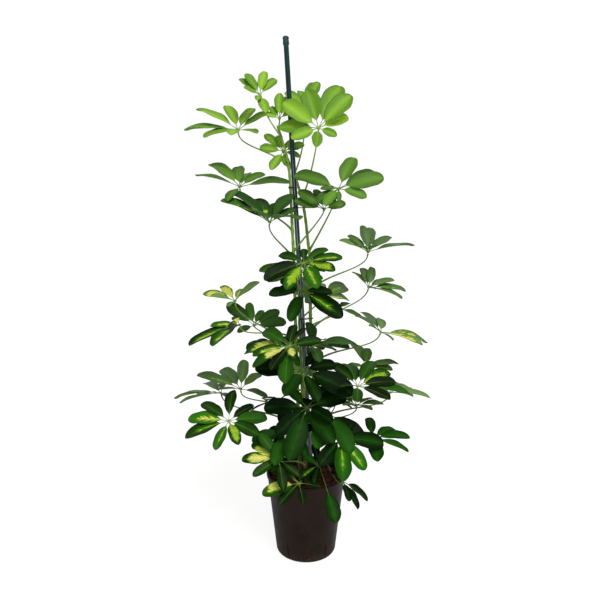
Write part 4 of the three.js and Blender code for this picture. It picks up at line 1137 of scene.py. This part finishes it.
def petiole_rings(row, sizes):
    """The leaf's long stalk: a smooth bend from inside the stem to just under the hub."""
    _, normal, across = whorl_axes(row.face)
    root = stem_place(row.stem, row.root)
    under = row.hub - normal * PETIOLE["under_hub"]
    reach = np.linalg.norm(under - root)
    outward = (under - root) * (1, 1, 0)
    if np.linalg.norm(outward) > 1:
        outward = unit(outward)
    start = root + outward * reach * PETIOLE["outward"] + UP * reach * PETIOLE["upward"]
    arrive = under - normal * reach * PETIOLE["arrival"]
    t = np.linspace(0, 1, sizes.petiole_steps)
    weights = np.stack([(1 - t) ** 3, 3 * t * (1 - t) ** 2, 3 * t**2 * (1 - t), t**3], axis=1)
    thick = min(PETIOLE["root_radius"], PETIOLE["stem_share"] * stem_radius(row.stem, row.root))
    radii = thick + (PETIOLE["tip_radius"] - thick) * np.minimum(1, t * PETIOLE["taper"])
    radii = radii * (1 + 0.45 * smooth(1 - t, 0.9, 1) + 0.5 * smooth(t, 0.93, 1))
    return tube_rings(weights @ np.array([root, start, arrive, under]), radii, across, 10)


def add_hub(skin, row):
    """The knuckle that the leaflets' stalks spring from."""
    _, normal, across = whorl_axes(row.face)
    stops = np.linspace(-1, 1, HUB["steps"])
    heights = [-PETIOLE["under_hub"], *(HUB["half_height"] * stops)]
    radii = [PETIOLE["tip_radius"], *(HUB["radius"] * np.sqrt(np.maximum(1 - stops**2, 0.05)))]
    rings = tube_rings(row.hub + np.outer(heights, normal), radii, across, HUB["sides"])
    skin.loft(rings, slots=2, leaflet=(0.6, 0, 0))


def build_leaf(number, row, sizes, colours):
    node = f"leaf_{number:02d}"
    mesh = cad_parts[node].data
    corners = np.zeros(len(mesh.vertices) * 3, np.float32)
    mesh.vertices.foreach_get("co", corners)
    corners = corners.reshape(-1, 3).astype(float) / MM
    skin = Skin("blade", "leaflet", "yellow")
    found = 0
    for place, values in enumerate(row.leaflets):
        leaflet = Leaflet(*values)
        seed = (number - 1) * SEEDS_A_LEAF + place
        arc = leaflet_arc(row, seed, leaflet, corners)
        if arc is not None:
            found += 1
            add_blade(skin, arc, seed, MARKS[leaflet.mark], sizes)
            add_stalk(skin, arc, seed, number in PALE_STALKED, sizes)
    if found + 1 < len(row.leaflets):
        raise RuntimeError(f"{node}: its solid has other leaflets than row {number} says")
    add_hub(skin, row)
    skin.loft(petiole_rings(row, sizes), slots=2, leaflet=(chance(number, 70), 0, 0))
    place_piece(skin, f"frond_{number:02d}", node, LOOKS[row.look].slot,
                leaf_materials(colours, row.look))


# Stage

CAMERA = {"place": (-14, -1290, 768), "pitch": 7.8, "lens": 35, "sensor": 36}
STUDIO = {"around": 0.03, "above": 0.33, "behind": 0.6, "backdrop": 1.02, "floor_glow": 0.86}
FLOOR_REACH = 14000
# The soft lamp: its tilts in degrees, how wide it looks, and its strength
LAMP = {"turn": (44, 0, 20), "angle": 32, "strength": 2.5}
# A panel beside the camera: it draws the bright streak down the stake
SOFTBOX = {"place": (-250, -1900, 620), "aim": (0, 0, 620), "size": (1.2, 0.9), "power": 8.5}
WHITE = (1, 1, 1)


def show_or_light(net, lighting, seen, output):
    """The camera sees one shader, and everything else is lit by the other."""
    ray = net.value("ShaderNodeLightPath", (), "Is Camera Ray")
    both = net.value("ShaderNodeMixShader", {0: ray, 1: lighting, 2: seen})
    net.node(output, {"Surface": both})


def stand(name, data, turn, place=(0, 0, 0)):
    """Puts a lamp or the camera in the scene."""
    holder = bpy.data.objects.new(name, data)
    holder.location = Vector(place) * MM
    holder.rotation_euler = turn
    bpy.context.scene.collection.objects.link(holder)
    return holder


def build_sky(scene):
    """A white backdrop for the camera, and a soft glow from above and behind for the plant."""
    scene.world = bpy.data.worlds.new("studio_world")
    scene.world.use_nodes = True
    net = Net(scene.world.node_tree)
    net.tree.nodes.clear()
    way = net.split(net.value("ShaderNodeTexCoord", (), "Generated"))
    behind = net.ramp(way[1], -0.1, 0.9, 0, STUDIO["behind"])
    above = net.ramp(way[2], 0.1, 1, 0, STUDIO["above"])
    light, backdrop = (net.value("ShaderNodeBackground", {"Color": WHITE, "Strength": strength})
                       for strength in (behind + above + STUDIO["around"], STUDIO["backdrop"]))
    show_or_light(net, light, backdrop, "ShaderNodeOutputWorld")


def build_floor(colours):
    """A pale floor that shows as white, with faint shadows."""
    skin = Skin()
    skin.add_points([(x * FLOOR_REACH, y * FLOOR_REACH, 0)
                     for x, y in ((-1, -1), (1, -1), (1, 1), (-1, 1))])
    skin.add_faces([(0, 1, 2, 3)])
    net = new_material("studio_floor")
    paint, faint = (net.value("ShaderNodeBsdfDiffuse", {"Color": colour})
                    for colour in (colours.floor, colours.floor_shade))
    glow = net.value("ShaderNodeEmission", {"Color": WHITE, "Strength": STUDIO["floor_glow"]})
    lit = net.value("ShaderNodeAddShader", {0: faint, 1: glow})
    show_or_light(net, paint, lit, "ShaderNodeOutputMaterial")
    skin.build("studio_floor", [net.material], trimmed=False)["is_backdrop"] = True


def build_stage(colours):
    scene = bpy.context.scene
    build_sky(scene)
    build_floor(colours)

    lamp = bpy.data.lights.new("key_lamp", "SUN")
    lamp.energy = LAMP["strength"]
    lamp.angle = math.radians(LAMP["angle"])
    stand("key_lamp", lamp, [math.radians(value) for value in LAMP["turn"]])

    panel = bpy.data.lights.new("front_softbox", "AREA")
    panel.shape = "RECTANGLE"
    panel.size, panel.size_y = SOFTBOX["size"]
    panel.energy = SOFTBOX["power"]
    way = Vector(SOFTBOX["aim"]) - Vector(SOFTBOX["place"])
    turn = way.to_track_quat("-Z", "Y").to_euler()
    stand("front_softbox", panel, turn, SOFTBOX["place"]).visible_camera = False

    camera = bpy.data.cameras.new("photo_camera")
    camera.lens = CAMERA["lens"]
    camera.sensor_width = CAMERA["sensor"]
    turn = (math.radians(90 - CAMERA["pitch"]), 0, 0)
    scene.camera = stand("photo_camera", camera, turn, CAMERA["place"])
    scene.view_settings.view_transform = "Standard"


# Settings, operators and panel

# Each size: default, least, most, what it is, and a subtype where one fits
SIZES = {
    "blade_thickness": (0.5, 0.2, 1.5, "Thickness of a leaf blade, in millimetres"),
    "edge_wave": (0.07, 0, 0.3, "Height of the waves along a blade's edge", "FACTOR"),
    "outline_wave": (0.045, 0, 0.2, "Waviness of a blade's outline", "FACTOR"),
    "stalk_radius": (0.9, 0.3, 2, "Radius of a leaflet's stalk, in millimetres"),
    "blade_steps": (17, 7, 40, "Rows of faces from the foot of a blade to its tip"),
    "petiole_steps": (18, 6, 60, "Rows of faces along a leaf's long stalk"),
    "stem_sides": (16, 6, 48, "Sides of a stem"),
    "pebble_radius": (6.4, 3, 12, "Usual radius of a clay pebble, in millimetres"),
    "pebble_pitch": (12.6, 6, 25, "Distance between pebbles, in millimetres"),
    "pot_steps": (13, 5, 40, "Columns of faces between two of the pot's slots"),
    "round_steps": (40, 12, 96, "Sides of the stake and its cap"),
    "tie_radius": (1.0, 0.4, 2, "Radius of a tie's coated wire, in millimetres"),
    "tie_tail": (11.0, 4, 25, "Length of a tie's twisted ends, in millimetres"),
}
COLOURS = {
    "halo": ("Green between the yellow and the deep green", (0.05, 0.19, 0.006)),
    "lime": ("Yellow-green edge of the markings", (0.26, 0.44, 0.02)),
    "yellow": ("Yellow-green markings", (0.50, 0.56, 0.06)),
    "cream": ("Pale markings", (0.76, 0.70, 0.19)),
    "underside": ("Pale tone of a blade's underside", (0.05, 0.12, 0.022)),
    "stalk": ("Green of the leaf stalks", (0.10, 0.20, 0.02)),
    "pale_stalk": ("Whitish stalks of some leaflets", (0.42, 0.50, 0.33)),
    "bark_green": ("Green of the upper stems", (0.09, 0.22, 0.015)),
    "bark_yellow": ("Yellow streaks of the stems", (0.22, 0.38, 0.03)),
    "bark_brown": ("Brown of the old stems", (0.10, 0.075, 0.03)),
    "bark_pore": ("Pale pores of the bark", (0.34, 0.30, 0.16)),
    "stake_dark": ("Darker tone of the stake's coating", (0.005, 0.026, 0.024)),
    "stake_light": ("Lighter tone of the stake's coating", (0.012, 0.045, 0.044)),
    "cap_light": ("Lighter tone of the cap", (0.012, 0.05, 0.055)),
    "tie_dark": ("Darker tone of the ties", (0.004, 0.016, 0.008)),
    "tie_light": ("Lighter tone of the ties", (0.012, 0.035, 0.02)),
    "pot_dark": ("Darker brown of the pot", (0.0075, 0.0032, 0.0010)),
    "pot_brown": ("Usual brown of the pot", (0.0140, 0.0065, 0.0020)),
    "pot_warm": ("Warmer tone near the pot's rim", (0.0240, 0.0110, 0.0050)),
    "pot_stain": ("Dark red stains low on the pot", (0.012, 0.002, 0.0015)),
    "pot_dust": ("Dust at the pot's foot", (0.09, 0.075, 0.06)),
    "clay_dark": ("Darkest pebbles", (0.03, 0.004, 0.003)),
    "clay_red": ("Usual pebbles", (0.14, 0.006, 0.004)),
    "clay_pale": ("Dusty pebbles", (0.17, 0.022, 0.014)),
    "floor": ("Pale floor of the stage", (0.8, 0.8, 0.8)),
    "floor_shade": ("How strongly shadows show on the floor", (0.22, 0.215, 0.21)),
}
# For the light look, these greens carry a painted sheen.
for kind, look in LOOKS.items():
    COLOURS[f"{kind}_deep"] = (f"Darker green of the {look.leaves} leaves", look.deep)
    COLOURS[f"{kind}_fresh"] = (f"Lighter green of the {look.leaves} leaves", look.fresh)
    COLOURS[f"{kind}_vein"] = (f"Ribs and stalks of the {look.leaves} leaves", look.vein)


def shown_name(key):
    return key.replace("_", " ").capitalize()


def size_setting(key, default, least, most, description, subtype="NONE"):
    """A setting for a size, or for a count if its default is a whole number."""
    kind = IntProperty if isinstance(default, int) else FloatProperty
    return kind(name=shown_name(key), description=description, default=default, min=least,
                max=most, subtype=subtype)


def colour_setting(key, description, default):
    return FloatVectorProperty(name=shown_name(key), description=description, default=default,
                               subtype="COLOR", size=3, min=0, max=4)


class PlantSizes(bpy.types.PropertyGroup):
    """Sizes and counts that a user may change"""
    __annotations__ = {key: size_setting(key, *row) for key, row in SIZES.items()}


class PlantColours(bpy.types.PropertyGroup):
    """Colours that a user may change"""
    __annotations__ = {key: colour_setting(key, *row) for key, row in COLOURS.items()}


def chosen(context):
    """The settings that the operators build with."""
    return context.scene.plant_sizes, context.scene.plant_colours


class UMBRELLA_PLANT_OT_stage(bpy.types.Operator):
    """Sets up the pale floor, the soft studio light and the camera"""
    bl_idname = "umbrella_plant.stage"
    bl_label = "Stage"

    def execute(self, context):
        build_stage(context.scene.plant_colours)
        return {"FINISHED"}


class UMBRELLA_PLANT_OT_pot(bpy.types.Operator):
    """Builds the slotted culture pot"""
    bl_idname = "umbrella_plant.pot"
    bl_label = "Pot"

    def execute(self, context):
        build_pot(*chosen(context))
        return {"FINISHED"}


class UMBRELLA_PLANT_OT_clay(bpy.types.Operator):
    """Fills the pot with expanded clay pebbles"""
    bl_idname = "umbrella_plant.clay"
    bl_label = "Clay pebbles"

    def execute(self, context):
        build_clay(*chosen(context))
        return {"FINISHED"}


class UMBRELLA_PLANT_OT_stake(bpy.types.Operator):
    """Builds the coated stake and its cap"""
    bl_idname = "umbrella_plant.stake"
    bl_label = "Stake and cap"

    def execute(self, context):
        build_stake(*chosen(context))
        return {"FINISHED"}


class UMBRELLA_PLANT_OT_ties(bpy.types.Operator):
    """Ties the stems to the stake with coated wire"""
    bl_idname = "umbrella_plant.ties"
    bl_label = "Ties"

    def execute(self, context):
        build_ties(*chosen(context))
        return {"FINISHED"}


class UMBRELLA_PLANT_OT_stems(bpy.types.Operator):
    """Builds the four stems with their leaf scars"""
    bl_idname = "umbrella_plant.stems"
    bl_label = "Stems"

    def execute(self, context):
        build_stems(*chosen(context))
        return {"FINISHED"}


class UMBRELLA_PLANT_OT_leaves(bpy.types.Operator):
    """Grows a whorled leaf over each leaf solid"""
    bl_idname = "umbrella_plant.leaves"
    bl_label = "Leaves"

    def execute(self, context):
        for number, row in enumerate(LEAVES, 1):
            build_leaf(number, row, *chosen(context))
        return {"FINISHED"}


OPERATORS = (UMBRELLA_PLANT_OT_stage, UMBRELLA_PLANT_OT_pot, UMBRELLA_PLANT_OT_clay,
             UMBRELLA_PLANT_OT_stake, UMBRELLA_PLANT_OT_ties, UMBRELLA_PLANT_OT_stems,
             UMBRELLA_PLANT_OT_leaves)


class VIEW3D_PT_umbrella_plant(bpy.types.Panel):
    """Lists the plant's pieces and settings in the sidebar"""
    bl_label = "Umbrella plant"
    bl_idname = "VIEW3D_PT_umbrella_plant"
    bl_space_type = "VIEW_3D"
    bl_region_type = "UI"
    bl_category = "Plant"

    def draw(self, context):
        for operator in OPERATORS:
            self.layout.operator(operator.bl_idname)
        for settings, names in zip(chosen(context), (SIZES, COLOURS)):
            box = self.layout.box()
            for name in names:
                box.prop(settings, name)


CLASSES = (PlantSizes, PlantColours, *OPERATORS, VIEW3D_PT_umbrella_plant)


def register():
    for made in CLASSES:
        bpy.utils.register_class(made)
    bpy.types.Scene.plant_sizes = PointerProperty(type=PlantSizes)
    bpy.types.Scene.plant_colours = PointerProperty(type=PlantColours)


def unregister():
    del bpy.types.Scene.plant_colours
    del bpy.types.Scene.plant_sizes
    for made in reversed(CLASSES):
        bpy.utils.unregister_class(made)


def main():
    register()
    bpy.ops.umbrella_plant.stage()
    bpy.ops.umbrella_plant.pot()
    bpy.ops.umbrella_plant.clay()
    bpy.ops.umbrella_plant.stake()
    bpy.ops.umbrella_plant.ties()
    bpy.ops.umbrella_plant.stems()
    bpy.ops.umbrella_plant.leaves()
    boxes = {"cad": CAD_BOX, "visual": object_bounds()}
    {name: [list(corner) for corner in box] for name, box in boxes.items()}


if __name__ == "__main__":
    main()
